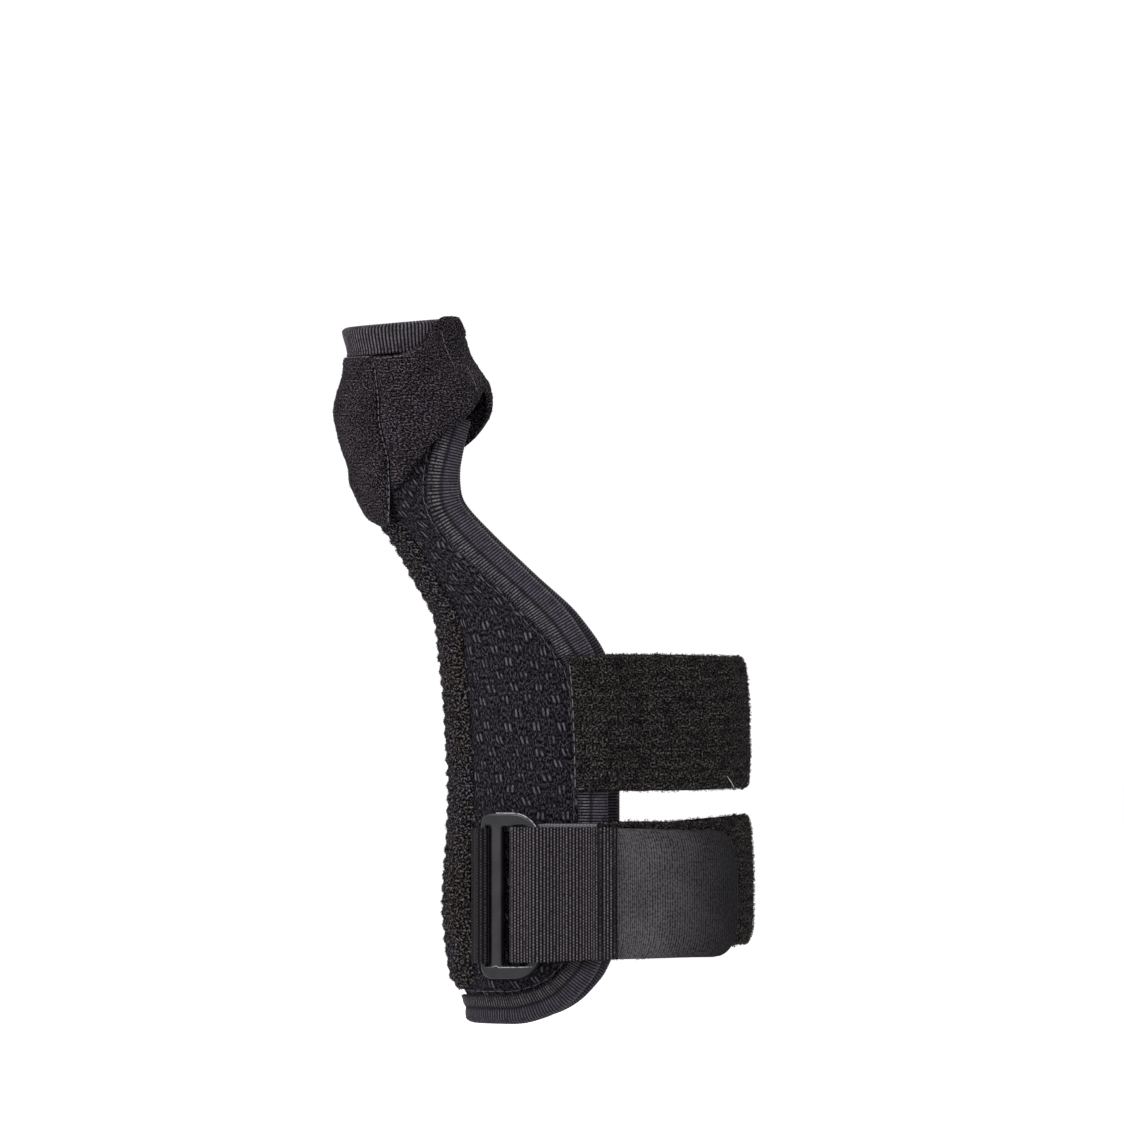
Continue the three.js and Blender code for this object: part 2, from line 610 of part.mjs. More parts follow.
// The webbing comes from the pile strap, goes under the buckle's right bar, up through the wide slot,
// back over the bar, and ends on the closing tab.
const FOLD_SLACK = 4.4; // the fold stands this far off the bar, inside the slot
function strapWebbing() {
  const half = WEBBING_THICKNESS / 2;
  const onPanel = PANEL_THICKNESS + CLEARANCE + half;
  const overTape = TAPE_THICKNESS + TAPE_CLEARANCE;
  const lowerLift = (angle) => onPanel + overTape * ramp(angle, WEBBING_OVER_TAPE_ANGLES);
  const upperLift = (angle) => {
    const onLower = lowerLift(angle) + WEBBING_THICKNESS + CLEARANCE;
    const onTab = strapLift(angle) + PILE_THICKNESS + HOOK_THICKNESS + 2 * CLEARANCE + half;
    return mix(onLower, onTab, ramp(angle, WEBBING_ONTO_HOOK_ANGLES));
  };
  const barTop = BUCKLE_FLOOR + BUCKLE_THICKNESS;
  const foldX = BUCKLE_WIDE_RIGHT - CLEARANCE - half - FOLD_SLACK;
  return webbingStrip(
    [
      ...WEBBING_LOWER_ANGLES.map((angle) => onStrapLevel(angle, lowerLift(angle))),
      inBuckle(foldX + 4.5, CLEARANCE + half - 0.1),
      inBuckle(foldX + 1.4, CLEARANCE + half + 0.3),
      inBuckle(foldX, BUCKLE_FLOOR + BUCKLE_THICKNESS / 2),
      inBuckle(foldX + 1.5, barTop + CLEARANCE + half - 0.1),
      inBuckle(BUCKLE_WIDE_RIGHT, barTop + CLEARANCE + half + 0.15),
      inBuckle(BUCKLE_RIGHT, barTop + CLEARANCE + half + 0.1),
      ...WEBBING_UPPER_ANGLES.map((angle) => onStrapLevel(angle, upperLift(angle))),
    ],
    56,
    WEBBING_THICKNESS,
  );
}

// The tab's two legs are sewn to the panel beside the pocket, and its loop holds the buckle's left bar.
const TAB_END_ANGLE = 33;
function buckleTab() {
  const half = TAB_THICKNESS / 2;
  const barTop = BUCKLE_FLOOR + BUCKLE_THICKNESS;
  const lower = PANEL_THICKNESS + CLEARANCE + half;
  const upper = lower + TAB_THICKNESS + CLEARANCE;
  const slotX = (BUCKLE_NARROW_LEFT + BUCKLE_MIDDLE_LEFT) / 2 + 0.05;
  return webbingStrip(
    [
      onStrapLevel(TAB_END_ANGLE, lower),
      onStrapLevel(TAB_END_ANGLE + 4, lower + 0.1),
      inBuckle(BUCKLE_LEFT, BUCKLE_FLOOR - CLEARANCE - half),
      inBuckle(slotX - 0.8, BUCKLE_FLOOR - CLEARANCE - half - 0.05),
      inBuckle(slotX, BUCKLE_FLOOR + BUCKLE_THICKNESS * 0.3),
      inBuckle(slotX, BUCKLE_FLOOR + BUCKLE_THICKNESS * 0.7),
      inBuckle(slotX - 0.45, barTop + CLEARANCE + half),
      inBuckle(BUCKLE_LEFT - 0.2, barTop + CLEARANCE + half + 0.1),
      inBuckle(BUCKLE_LEFT - CLEARANCE - half - 0.7, BUCKLE_FLOOR + BUCKLE_THICKNESS * 0.6),
      onStrapLevel(TAB_END_ANGLE + 2, upper + 0.1),
      onStrapLevel(TAB_END_ANGLE, upper),
    ],
    26,
    TAB_THICKNESS,
  );
}

const cloth = (color, roughness) =>
  new THREE.MeshStandardMaterial({ color, roughness, metalness: 0 });
const KNIT = cloth("#1c1b1f", 0.95);
const PLUSH = cloth("#1d1b1e", 1);
const PILE = cloth("#191817", 1);
const TAPE = cloth("#26242a", 0.85);
const WEBBING = cloth("#232227", 0.8);
const HOOK_BACK = cloth("#29292d", 0.75);
const PLASTIC = new THREE.MeshStandardMaterial({ color: "#26262a", roughness: 0.45, metalness: 0 });

const splint = new THREE.Group();
function add(name, geometry, material) {
  const mesh = new THREE.Mesh(geometry, material);
  mesh.name = name;
  splint.add(mesh);
}

add("body_panel", bodyPanel(), KNIT);
add("stay_pocket", stayPocket(), KNIT);
add("edge_binding", edgeBinding(), TAPE);
add("thumb_binding", thumbBinding(), TAPE);
add("thumb_lobe", thumbLobe(), PLUSH);
add("thumb_flap", thumbFlap(), PLUSH);
add("wrist_strap", strap(WRIST_STRAP_ANGLES, WRIST_STRAP_Z, 0), PILE);
add("forearm_strap", strap(FOREARM_STRAP_ANGLES, FOREARM_STRAP_Z, FOREARM_STRAP_RISE), PILE);
add("strap_webbing", strapWebbing(), WEBBING);
add("hook_tab", hookTab(), HOOK_BACK);
add("slide_buckle", slideBuckle(), PLASTIC);
add("buckle_tab", buckleTab(), WEBBING);

export default splint;
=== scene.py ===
# %% [markdown]
# # A thumb spica splint
#
# This lesson dresses a plain model of a splint with cloth. The splint is a wrap of padded knit for the
# right hand, shown in its worn form. It has a closed tube for the thumb, taped edges, and two straps,
# one of them led through a plastic slide buckle.
#
# The frame is the plain model that the pieces have to fit. It is loaded first.

# %% Load the frame
import math
import bpy
import numpy as np
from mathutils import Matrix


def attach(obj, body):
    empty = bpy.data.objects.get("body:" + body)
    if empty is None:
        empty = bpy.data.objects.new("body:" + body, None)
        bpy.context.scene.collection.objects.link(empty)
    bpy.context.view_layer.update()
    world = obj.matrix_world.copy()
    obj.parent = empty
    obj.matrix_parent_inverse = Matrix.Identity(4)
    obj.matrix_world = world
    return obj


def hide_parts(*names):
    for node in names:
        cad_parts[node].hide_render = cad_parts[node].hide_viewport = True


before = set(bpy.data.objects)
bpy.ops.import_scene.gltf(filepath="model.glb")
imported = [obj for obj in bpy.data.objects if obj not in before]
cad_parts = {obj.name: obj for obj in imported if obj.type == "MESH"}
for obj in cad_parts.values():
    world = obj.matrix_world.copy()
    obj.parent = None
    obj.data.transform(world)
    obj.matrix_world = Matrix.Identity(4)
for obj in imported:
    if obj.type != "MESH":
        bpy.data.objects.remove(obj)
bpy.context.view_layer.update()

# %% [markdown]
# ## The camera
#
# The splint is seen straight from the back of the hand with a long lens, so that it hardly narrows with
# distance. The picture is 316.6 mm wide at the wrist.

# %% Camera
VIEW_WIDTH = 0.3166
LENS, SENSOR = 600, 36
VIEW_CENTRE = (-0.0118, 0.0451)  # across and up
camera = bpy.data.objects.new("camera", bpy.data.cameras.new("camera"))
bpy.context.collection.objects.link(camera)
camera.data.lens, camera.data.sensor_width = LENS, SENSOR
camera.location = (VIEW_CENTRE[0], -VIEW_WIDTH * LENS / SENSOR, VIEW_CENTRE[1])
camera.rotation_euler = (math.pi / 2, 0, 0)
bpy.context.scene.camera = camera
print("the camera stands", round(-camera.location.y, 3), "m away")

# %% [markdown]
# ## The light
#
# Black cloth shows its weave only where light grazes it. One large soft lamp stands high on the left,
# a weaker one low on the right, and a pale surrounding fills the rest.

# %% Floor, lamps and surrounding
FLOOR_DROP = 0.125
bpy.ops.mesh.primitive_circle_add(vertices=96, radius=9, fill_type="NGON", location=(0, 0, -FLOOR_DROP))
floor = bpy.context.object
floor.name = "floor"


def lamp(name, place, size, watts):
    light = bpy.data.lights.new(name, "AREA")
    light.size, light.energy = size, watts
    stand = bpy.data.objects.new(name, light)
    stand.location = place
    aim = -np.array(place) + np.array((-0.01, 0, 0.02))
    flat_length = math.hypot(aim[0], aim[1])
    stand.rotation_euler = (
        math.atan2(flat_length, -aim[2]), 0, math.atan2(aim[1], aim[0]) - math.pi / 2)
    bpy.context.collection.objects.link(stand)


lamp("key lamp", (-1.2, -1.3, 1.1), 0.7, 32)
lamp("side lamp", (1.3, -0.9, 0.3), 0.8, 3)
lamp("back lamp", (0.2, 1.5, 1.1), 1.0, 16)
surrounding = bpy.data.worlds.new("studio")
surrounding.use_nodes = True
surrounding.node_tree.nodes["Background"].inputs["Color"].default_value = (1, 1, 1, 1)
surrounding.node_tree.nodes["Background"].inputs["Strength"].default_value = 1.05
bpy.context.scene.world = surrounding
bpy.context.scene.view_settings.view_transform = "Standard"
print("three lamps and a pale surrounding are set")

# %% [markdown]
# ## Shader sums as expressions
#
# A procedural finish is arithmetic on places: how far round, how far up, which rib. Written as nodes it
# is hard to read, so a Wire wraps one socket and lets it take part in ordinary sums. A Finish holds one
# material and makes every other node through one method.

# %% Wires and finishes
class Wire:
    """One socket that takes part in sums."""

    def __init__(self, finish, node, output=0):
        self.finish, self.node, self.socket = finish, node, node.outputs[output]

    def out(self, output):
        return Wire(self.finish, self.node, output)

    def sum(self, operation, *values):
        return self.finish.node("ShaderNodeMath", {"operation": operation}, dict(enumerate(values)))

    def __add__(self, other):
        return self.sum("ADD", self, other)

    __radd__ = __add__

    def __sub__(self, other):
        return self.sum("SUBTRACT", self, other)

    def __rsub__(self, other):
        return self.sum("SUBTRACT", other, self)

    def __mul__(self, other):
        return self.sum("MULTIPLY", self, other)

    __rmul__ = __mul__

    def __truediv__(self, other):
        return self.sum("DIVIDE", self, other)

    def __mod__(self, other):
        return self.sum("FLOORED_MODULO", self, other)

    def __abs__(self):
        return self.sum("ABSOLUTE", self)

    def floor(self):
        return self.sum("FLOOR", self)

    def cosine(self):
        return self.sum("COSINE", self)

    def between(self, low, high):
        """0 at low, 1 at high, soft at both ends; low may be the larger."""
        return self.finish.node(
            "ShaderNodeMapRange", {"interpolation_type": "SMOOTHSTEP"},
            {"Value": self, "From Min": low, "From Max": high})


class Finish:
    """One material: its shader's own numbers, and nodes for what changes over the surface."""

    def __init__(self, name, **own):
        self.material = bpy.data.materials.new(name)
        self.material.use_nodes = True
        self.tree = self.material.node_tree
        self.shader = self.tree.nodes["Principled BSDF"]
        for socket, value in own.items():
            self.shader.inputs[socket.replace("_", " ")].default_value = value

    def fill(self, socket, value):
        if isinstance(value, Wire):
            self.tree.links.new(value.socket, socket)
        elif hasattr(value, "__len__") and len(value) == 3 and len(socket.default_value) == 4:
            socket.default_value = (*value, 1)
        else:
            socket.default_value = value

    def node(self, kind, settings, values, output=0):
        made = self.tree.nodes.new(kind)
        for name, value in settings.items():
            setattr(made, name, value)
        for name, value in values.items():
            self.fill(made.inputs[name], value)
        return Wire(self, made, output)

    def mix(self, share, colour_a, colour_b, blend="MIX"):
        # The node keeps its colour sockets behind those for numbers and vectors
        settings = {"data_type": "RGBA", "blend_type": blend}
        return self.node("ShaderNodeMix", settings, {0: share, 6: colour_a, 7: colour_b}, 2)

    def cloth(self):
        """Millimetres across the cloth and along it, and 1 on its hidden face."""
        place = self.node("ShaderNodeAttribute", {"attribute_name": "cloth"}, {}, "Vector")
        parts = self.node("ShaderNodeSeparateXYZ", {}, {0: place})
        return place, parts.out(0), parts.out(1), parts.out(2)

    def noise(self, place, per_mm, detail=2.0):
        return self.node(
            "ShaderNodeTexNoise", {},
            {"Vector": place, "Scale": per_mm, "Detail": detail, "Roughness": 0.6})

    def paint(self, colour, rough=None, height=None, deep_mm=0.2):
        """deep_mm is how far a height of 1 stands above a height of 0."""
        self.fill(self.shader.inputs["Base Color"], colour)
        if rough is not None:
            self.fill(self.shader.inputs["Roughness"], rough)
        if height is not None:
            values = {"Strength": 1.0, "Distance": deep_mm / 1000, "Height": height}
            self.fill(self.shader.inputs["Normal"], self.node("ShaderNodeBump", {}, values))
        return self.material


print("shader sums are ready")

# %% [markdown]
# ## The form under the cloth
#
# All cloth lies on one form, a stack of ellipses from the forearm to the thumb. A place on it is an
# angle (0 on the thumb side, 90 on the back of the hand, 180 on the little finger side), a height, and
# a lift above the skin. The tables are those of the plain model, so every piece falls into place.

# %% The form
FOREARM_LENGTH, THUMB_LENGTH = 83, 111
WRIST_HALF_WIDTH, WRIST_HALF_DEPTH = 38.6, 26
THUMB_HALF_WIDTH, THUMB_HALF_DEPTH = 12.8, 12.6
THUMB_AXIS_X, THUMB_AXIS_Y = -57.1, 9
RIM_TILT = 1.2
CLEARANCE, TAPE_CLEARANCE, STRAP_SLACK = 0.35, 0.5, 0.1
PANEL_THICKNESS, THUMB_PANEL_THICKNESS = 3, 2.2
POCKET_THICKNESS, COVER_THICKNESS, TAPE_THICKNESS = 2.5, 2.2, 1
PILE_THICKNESS, WEBBING_THICKNESS, HOOK_THICKNESS, TAB_THICKNESS = 2.2, 1.3, 1.2, 1.1
STRAP_WIDTH = 38
WRIST_STRAP_Z, FOREARM_STRAP_Z, FOREARM_STRAP_RISE = 0, -48.5, 3.0

# height, then shares of the way from the wrist to the thumb: across, behind, width, depth
SECTIONS = np.array([
    (-1.0, -0.03, 0, 0.11, 0.04), (-0.84, -0.006, 0, 0.02, -0.02), (-0.6, 0, 0, -0.035, -0.02),
    (-0.25, -0.002, 0, 0.01, 0), (0.0, 0.006, 0, 0, 0), (0.157, 0.028, 0.03, -0.008, 0.075),
    (0.258, 0.116, 0.11, 0.129, 0.15), (0.36, 0.31, 0.28, 0.327, 0.26),
    (0.462, 0.519, 0.47, 0.536, 0.4), (0.563, 0.729, 0.63, 0.669, 0.54),
    (0.662, 0.857, 0.78, 0.75, 0.66), (0.764, 0.917, 0.89, 0.745, 0.75),
    (0.85, 0.956, 0.955, 0.863, 0.85), (0.946, 0.991, 1, 1.03, 0.97), (1.0, 1, 1, 1, 1),
])
# height, then the open edge's angle on the back of the hand and on the palm
SEAM_ANGLE = 179.1
EDGES = np.array([
    (-1.0, 48, -53), (-0.985, 57, -62), (-0.965, 65, -70), (-0.93, 73, -78), (-0.87, 81, -86),
    (-0.78, 87.5, -92), (-0.6, 89, -94), (-0.1, 89, -94), (0.1, 88.5, -93), (0.17, 86.5, -91),
    (0.258, 84, -88), (0.36, 83.5, -86), (0.462, 81.5, -85), (0.563, 88, -90), (0.61, 98, -99),
    (0.662, 110, -110), (0.764, 129, -129), (0.81, 142, -142), (0.845, 161, -161),
    (0.866, SEAM_ANGLE, -SEAM_ANGLE), (1.0, SEAM_ANGLE, -SEAM_ANGLE),
])
TAPE_TOP_HEIGHT = 0.764


def smooth(x, start, end):
    """0 at start, 1 at end, soft at both."""
    t = np.clip((x - start) / (end - start), 0, 1)
    return t * t * (3 - 2 * t)


def mix(a, b, share):
    return a + (b - a) * share


def curve(table, column):
    """A table's column as a smooth curve of its first one. It never overshoots its rows."""
    x, y = table[:, 0], table[:, column]
    step, rise = np.diff(x), np.diff(y) / np.diff(x)
    slope = np.zeros(len(x))
    same = rise[:-1] * rise[1:] > 0
    both = rise[:-1] + rise[1:]
    slope[1:-1][same] = (2 * rise[:-1] * rise[1:])[same] / both[same]

    def at(value):
        inside = np.clip(value, x[0], x[-1])
        i = np.clip(np.searchsorted(x, inside, side="right") - 1, 0, len(x) - 2)
        t = (inside - x[i]) / step[i]
        lean = step[i] * t * (1 - t) * (slope[i] * (1 - t) - slope[i + 1] * t)
        return mix(y[i], y[i + 1], t * t * (3 - 2 * t)) + lean

    return at


across, behind, width, depth = (curve(SECTIONS, c) for c in (1, 2, 3, 4))
dorsal_edge, palmar_edge = curve(EDGES, 1), curve(EDGES, 2)


def z_of(height):
    return np.where(height < 0, height * FOREARM_LENGTH, height * THUMB_LENGTH)


def height_of(z):
    return np.where(z < 0, z / FOREARM_LENGTH, z / THUMB_LENGTH)


def on_form(angle, z, lift):
    """Points in millimetres; the three arguments may be arrays."""
    angle, z, lift = np.broadcast_arrays(*(np.asarray(v, float) for v in (angle, z, lift)))
    height = height_of(z)
    half_width = mix(WRIST_HALF_WIDTH, THUMB_HALF_WIDTH, width(height))
    half_depth = mix(WRIST_HALF_DEPTH, THUMB_HALF_DEPTH, depth(height))
    c, s = np.cos(np.radians(angle)), np.sin(np.radians(angle))
    out_x, out_y = c / half_width, s / half_depth
    length = np.hypot(out_x, out_y)
    x = THUMB_AXIS_X * across(height) - half_width * c - lift * out_x / length
    y = THUMB_AXIS_Y * behind(height) - half_depth * s - lift * out_y / length
    return np.stack([x, y, z], -1)


def panel_thickness(z):
    return mix(PANEL_THICKNESS, THUMB_PANEL_THICKNESS, smooth(height_of(z), 0.3, 0.75))


def rim_tilt(angle, z):
    return -RIM_TILT * np.cos(np.radians(angle)) * smooth(height_of(z), 0.86, 1)


print("the wrist is", 2 * WRIST_HALF_WIDTH, "mm wide inside")
print("the thumb tube is", 2 * THUMB_HALF_WIDTH, "mm wide inside")

# %% [markdown]
# ## Cloth with two faces
#
# Padded cloth has a shown face full of detail and a hidden one that is nearly plain. One fine grid for
# both would waste half of its faces, so the hidden face gets one row for each four of the shown face,
# and the rim between them is closed with small fans.
#
# Each point also keeps its place on the cloth, in millimetres. The finishes draw their weave by that
# place, so a rib keeps its width on every part of a bent surface.

# %% Grids and meshes
COARSE = 4


def add_mesh(name, points_mm, faces, cloth, finish):
    mesh = bpy.data.meshes.new(name)
    mesh.from_pydata((np.asarray(points_mm) / 1000).tolist(), [], faces)
    kept = mesh.attributes.new("cloth", "FLOAT_VECTOR", "POINT")
    kept.data.foreach_set("vector", np.asarray(cloth, np.float32).ravel())
    mesh.polygons.foreach_set("use_smooth", np.ones(len(faces), bool))
    mesh.materials.append(finish)
    piece = bpy.data.objects.new(name, mesh)
    bpy.context.collection.objects.link(piece)
    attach(piece, "root")
    mesh.update()
    print(f"{name}: {len(points_mm)} points, {sum(len(f) - 2 for f in faces)} triangles")
    return piece


def quads(index, flip=False):
    """Faces of a grid of point numbers."""
    corners = [index[:-1, :-1], index[:-1, 1:], index[1:, 1:], index[1:, :-1]]
    if flip:
        corners.reverse()
    return np.stack(corners, -1).reshape(-1, 4).tolist()


def length_along(line):
    """How far each point of a line is from its first one, along it."""
    steps = np.linalg.norm(np.diff(line, axis=0), axis=1)
    return np.concatenate([[0], np.cumsum(steps)])


def places_on_cloth(outer):
    """Millimetres round from the middle column, and up along it, for each point of a grid."""
    round_it = np.linalg.norm(np.diff(outer, axis=1), axis=2)
    s = np.concatenate([np.zeros((len(outer), 1)), np.cumsum(round_it, 1)], 1)
    middle = outer.shape[1] // 2
    s = s - s[:, middle:middle + 1]
    return s, length_along(outer[:, middle])[:, None] + 0 * s


def from_sides(s):
    """Millimetres to the nearer side edge of the cloth."""
    return np.minimum(s - s[:, :1], s[:, -1:] - s)


def middle_length(face):
    """How long a grid is along its middle row, in millimetres."""
    middle = face[face.shape[0] // 2]
    return float(np.linalg.norm(np.diff(middle, axis=0), axis=1).sum())


def slab(name, outer, inner, s, t, finish):
    """Closed cloth from a fine shown grid and a coarse hidden one. Rows run up, columns round."""
    rows, columns = outer.shape[:2]
    front = np.arange(rows * columns).reshape(rows, columns)
    back = np.arange(inner.shape[0] * inner.shape[1]).reshape(inner.shape[:2]) + front.size
    faces = quads(front) + quads(back, flip=True)
    rims = ((front[0], back[0], 1), (front[-1], back[-1], 0),
            (front[:, 0], back[:, 0], 0), (front[:, -1], back[:, -1], 1))
    for fine, coarse, turn in rims:
        for i in range(len(coarse) - 1):
            fan = [*fine[i * COARSE:(i + 1) * COARSE + 1], coarse[i + 1], coarse[i]]
            faces.append([int(v) for v in (fan[::-1] if turn else fan)])
    hidden = np.stack([s[::COARSE, ::COARSE], t[::COARSE, ::COARSE], 1 + 0 * inner[..., 0]], -1)
    shown = np.stack([s, t, 0 * s], -1)
    cloth = np.concatenate([shown.reshape(-1, 3), hidden.reshape(-1, 3)])
    points = np.concatenate([outer.reshape(-1, 3), inner.reshape(-1, 3)])
    return add_mesh(name, points, faces, cloth, finish)


def hills(s, t, seed=0):
    """Smooth random hills from -1 to 1, about one for each unit of s and t."""
    i, j = np.floor(s), np.floor(t)
    a, b = s - i, t - j
    a, b = a * a * (3 - 2 * a), b * b * (3 - 2 * b)

    def corner(right, up):
        wave = np.sin((i + right) * 127.1 + (j + up) * 311.7 + seed * 74.7) * 43758.5453
        return 2 * (wave - np.floor(wave)) - 1

    low = mix(corner(0, 0), corner(1, 0), a)
    high = mix(corner(0, 1), corner(1, 1), a)
    return mix(low, high, b)


def loops(s, t, size, seed=0):
    """Pile of loops about size millimetres across, from -1 to 1."""
    return 0.6 * hills(s / size, t / size, seed) + 0.4 * hills(2.1 * s / size, 2.1 * t / size, seed + 5)


# %% [markdown]
# ## Padding that pushes out
#
# Foam between two layers of knit pushes the cloth out wherever no seam holds it. Blender's cloth solver
# works that out better than a formula does: a coarse copy of the shown face is pinned along its seams
# and puffed from behind, and only how far each point moved is kept. The fine grid is then shifted by
# that, so it keeps its own detail.

# %% Puffed cloth
PUFF_FRAMES = 18


def puffed(outer, pinned, push, most, grow=0.0):
    """How far each point of the fine grid moves, in millimetres, and never more than most.

    pinned is a coarse grid that is True where a seam holds the cloth. push is how hard the padding
    presses, and grow is the share by which the cloth gets larger.
    """
    coarse = outer[::COARSE, ::COARSE]
    rows, columns = coarse.shape[:2]
    faces = quads(np.arange(rows * columns).reshape(rows, columns))
    mesh = bpy.data.meshes.new("puff")
    mesh.from_pydata((coarse.reshape(-1, 3) / 1000).tolist(), [], faces)
    cloth_piece = bpy.data.objects.new("puff", mesh)
    bpy.context.collection.objects.link(cloth_piece)
    held = cloth_piece.vertex_groups.new(name="held")
    held.add(np.flatnonzero(pinned.ravel()).tolist(), 1.0, "REPLACE")
    solver = cloth_piece.modifiers.new("cloth", "CLOTH")
    setting = solver.settings
    setting.quality, setting.mass, setting.air_damping = 5, 0.1, 4
    setting.tension_stiffness = setting.compression_stiffness = 12
    setting.shear_stiffness, setting.bending_stiffness = 6, 0.4
    setting.vertex_group_mass = "held"
    setting.use_pressure, setting.uniform_pressure_force = True, push
    setting.shrink_min = setting.shrink_max = -grow
    setting.effector_weights.gravity = 0
    solver.collision_settings.use_collision = False
    scene = bpy.context.scene
    for step in range(1, PUFF_FRAMES + 1):
        scene.frame_set(step)
    solved = cloth_piece.evaluated_get(bpy.context.evaluated_depsgraph_get())
    after = np.empty(3 * rows * columns, np.float32)
    solved.to_mesh().vertices.foreach_get("co", after)
    shift = 1000 * after.reshape(rows, columns, 3) - coarse
    solved.to_mesh_clear()
    bpy.data.objects.remove(cloth_piece)
    scene.frame_set(1)
    length = np.linalg.norm(shift, axis=2, keepdims=True)
    shift *= np.minimum(1, most / np.maximum(length, 1e-6))
    print("the padding moved up to", round(float(length.max()), 2), "mm, and is held to", most)
    fine = shift
    for axis, count in ((0, outer.shape[0]), (1, outer.shape[1])):
        at = np.arange(count) / COARSE
        low = np.minimum(np.floor(at).astype(int), fine.shape[axis] - 2)
        part = np.expand_dims(at - low, tuple(d for d in range(3) if d != axis))
        fine = mix(np.take(fine, low, axis), np.take(fine, low + 1, axis), part * part * (3 - 2 * part))
    return fine


# %% [markdown]
# ## The knit panel
#
# The panel is a spacer knit: a dark ground with pairs of short raised threads, in rows that are offset
# by half a step, all leaning a little. The threads are both shape and finish. The grid raises them, and
# the finish paints them lighter at the same places, as a painted highlight for the sheen of their yarn.

# %% Knit finish
PAIR_STEP, ROW_STEP, LEAN = 7.5, 3.6, 0.2
THREAD_APART, THREAD_WIDE, THREAD_LONG = 1.3, 0.5, 2.5


def thread_pairs(s, t):
    """1 on the middle of each raised thread, 0 off it. Works on arrays."""
    row = np.round(t / ROW_STEP)
    round_it = (s + LEAN * t + PAIR_STEP / 2 * (row % 2)) % PAIR_STEP - PAIR_STEP / 2
    side = np.abs(np.abs(round_it) - THREAD_APART / 2)
    end = np.abs(t - ROW_STEP * row)
    return smooth(side, 0.55, 0.1) * smooth(end, THREAD_LONG / 2 + 0.2, THREAD_LONG / 2 - 0.6)


def knit_finish():
    knit = Finish("knit", Specular_IOR_Level=0.04)
    place, s, t, hidden = knit.cloth()
    row = (t / ROW_STEP + 0.5).floor()
    round_it = (s + LEAN * t + (row % 2) * (PAIR_STEP / 2)) % PAIR_STEP - PAIR_STEP / 2
    side = abs(abs(round_it) - THREAD_APART / 2)
    end = abs(t - row * ROW_STEP)
    in_length = end.between(THREAD_LONG / 2 + 0.1, THREAD_LONG / 2 - 0.5)
    thread = side.between(THREAD_WIDE * 0.85, THREAD_WIDE * 0.25) * in_length
    uneven = knit.noise(place, 0.4, 3)
    shown = thread * uneven.between(0.36, 0.58) * (1 - hidden)
    # the ground: small bent loops between the threads
    stretch = {0: place, 1: (1.5, 0.7, 1)}
    drawn_out = knit.node("ShaderNodeVectorMath", {"operation": "MULTIPLY"}, stretch)
    worms = knit.noise(drawn_out, 1.5, 3).between(0.45, 0.57)
    grain = knit.noise(place, 3.4, 2)
    beside = abs(round_it).between(THREAD_APART * 1.7, THREAD_APART)
    in_shade = beside * end.between(THREAD_LONG * 0.8, THREAD_LONG * 0.5)
    loop = worms * grain.between(0.3, 0.6) * (1 - in_shade * 0.65)
    ground = knit.mix(loop, (0.001, 0.0009, 0.0014), (0.05, 0.045, 0.056))
    lining = knit.mix(grain.between(0.35, 0.7), (0.006, 0.0055, 0.007), (0.018, 0.017, 0.02))
    # painted highlight: the raised threads are lighter for the sheen on their yarn
    yarn = knit.mix(grain.between(0.3, 0.65), (0.035, 0.032, 0.04), (0.105, 0.097, 0.118))
    colour = knit.mix(hidden, knit.mix(shown, ground, yarn), lining)
    return knit.paint(colour, 0.93 - shown * 0.2, shown * 0.7 + loop * 0.7 + grain * 0.2, 0.25)


KNIT = knit_finish()

# %% [markdown]
# The panel's rows go from the forearm end to the thumb's rim, and its columns from the palm edge round
# the thumb side to the edge on the back of the hand. It is pinched thin under the tape.

# %% Panel
CLOSE_ROWS, LONG_STEP = 0.02, 0.079


def row_heights(table):
    """The plain model's row heights for a table."""
    own = list(table[:, 0])
    inside = [h for h in SECTIONS[:, 0]
              if own[0] < h < own[-1] and min(abs(h - m) for m in own) >= CLOSE_ROWS]
    rows = sorted(own + inside)
    result = []
    for here, after in zip(rows, rows[1:] + [None]):
        result.append(here)
        if after is not None and here >= 0 and after - here > LONG_STEP:
            result.append((here + after) / 2)
    return np.array(result)


PANEL_ROWS = row_heights(EDGES)
PANEL_DORSAL, PANEL_PALMAR = dorsal_edge(PANEL_ROWS), palmar_edge(PANEL_ROWS)


def panel_grid(rows, columns):
    heights = height_of(np.linspace(-FOREARM_LENGTH, THUMB_LENGTH, rows))[:, None]
    share = np.linspace(0, 1, columns)[None, :]
    palmar, dorsal = (np.interp(heights, PANEL_ROWS, edge) for edge in (PANEL_PALMAR, PANEL_DORSAL))
    angle = mix(palmar, dorsal, share)
    return angle, z_of(heights) + 0 * angle


angle, z = panel_grid(rows=301, columns=209)
middle_face = on_form(angle, z, panel_thickness(z) / 2)
s, t = places_on_cloth(middle_face)
from_edge = np.minimum(from_sides(s), np.minimum(t, t[-1] - t))
full = mix(0.6, 1, smooth(from_edge, 0, 2.5))
thick = panel_thickness(z)
clear_of_tape = smooth(from_edge, 6.2, 8.5) * smooth(z, 66, 52)
# the rows of a real knit wander: relief and finish both use the wandering places
aside = 1.0 * hills(s / 9, t / 7, 41) + 0.5 * hills(s / 4, t / 4, 42)
upward = 0.9 * hills(s / 7, t / 10, 43)
s, t = s + aside, t + upward
relief = (0.28 * thread_pairs(s, t) + 0.14 * loops(s, t, 1.2)) * clear_of_tape
outer = on_form(angle, z + rim_tilt(angle, z), thick * (0.5 + 0.5 * full) + relief)
pins = (clear_of_tape < 0.02) | (np.abs(angle) < 30)
outer += puffed(outer, pins[::COARSE, ::COARSE], push=14, most=0.7) * clear_of_tape[..., None]
inner = on_form(angle, z + rim_tilt(angle, z), thick * (0.5 - 0.5 * full))[::COARSE, ::COARSE]
panel = slab("knit_panel", outer, inner, s, t, KNIT)
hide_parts("body_panel")

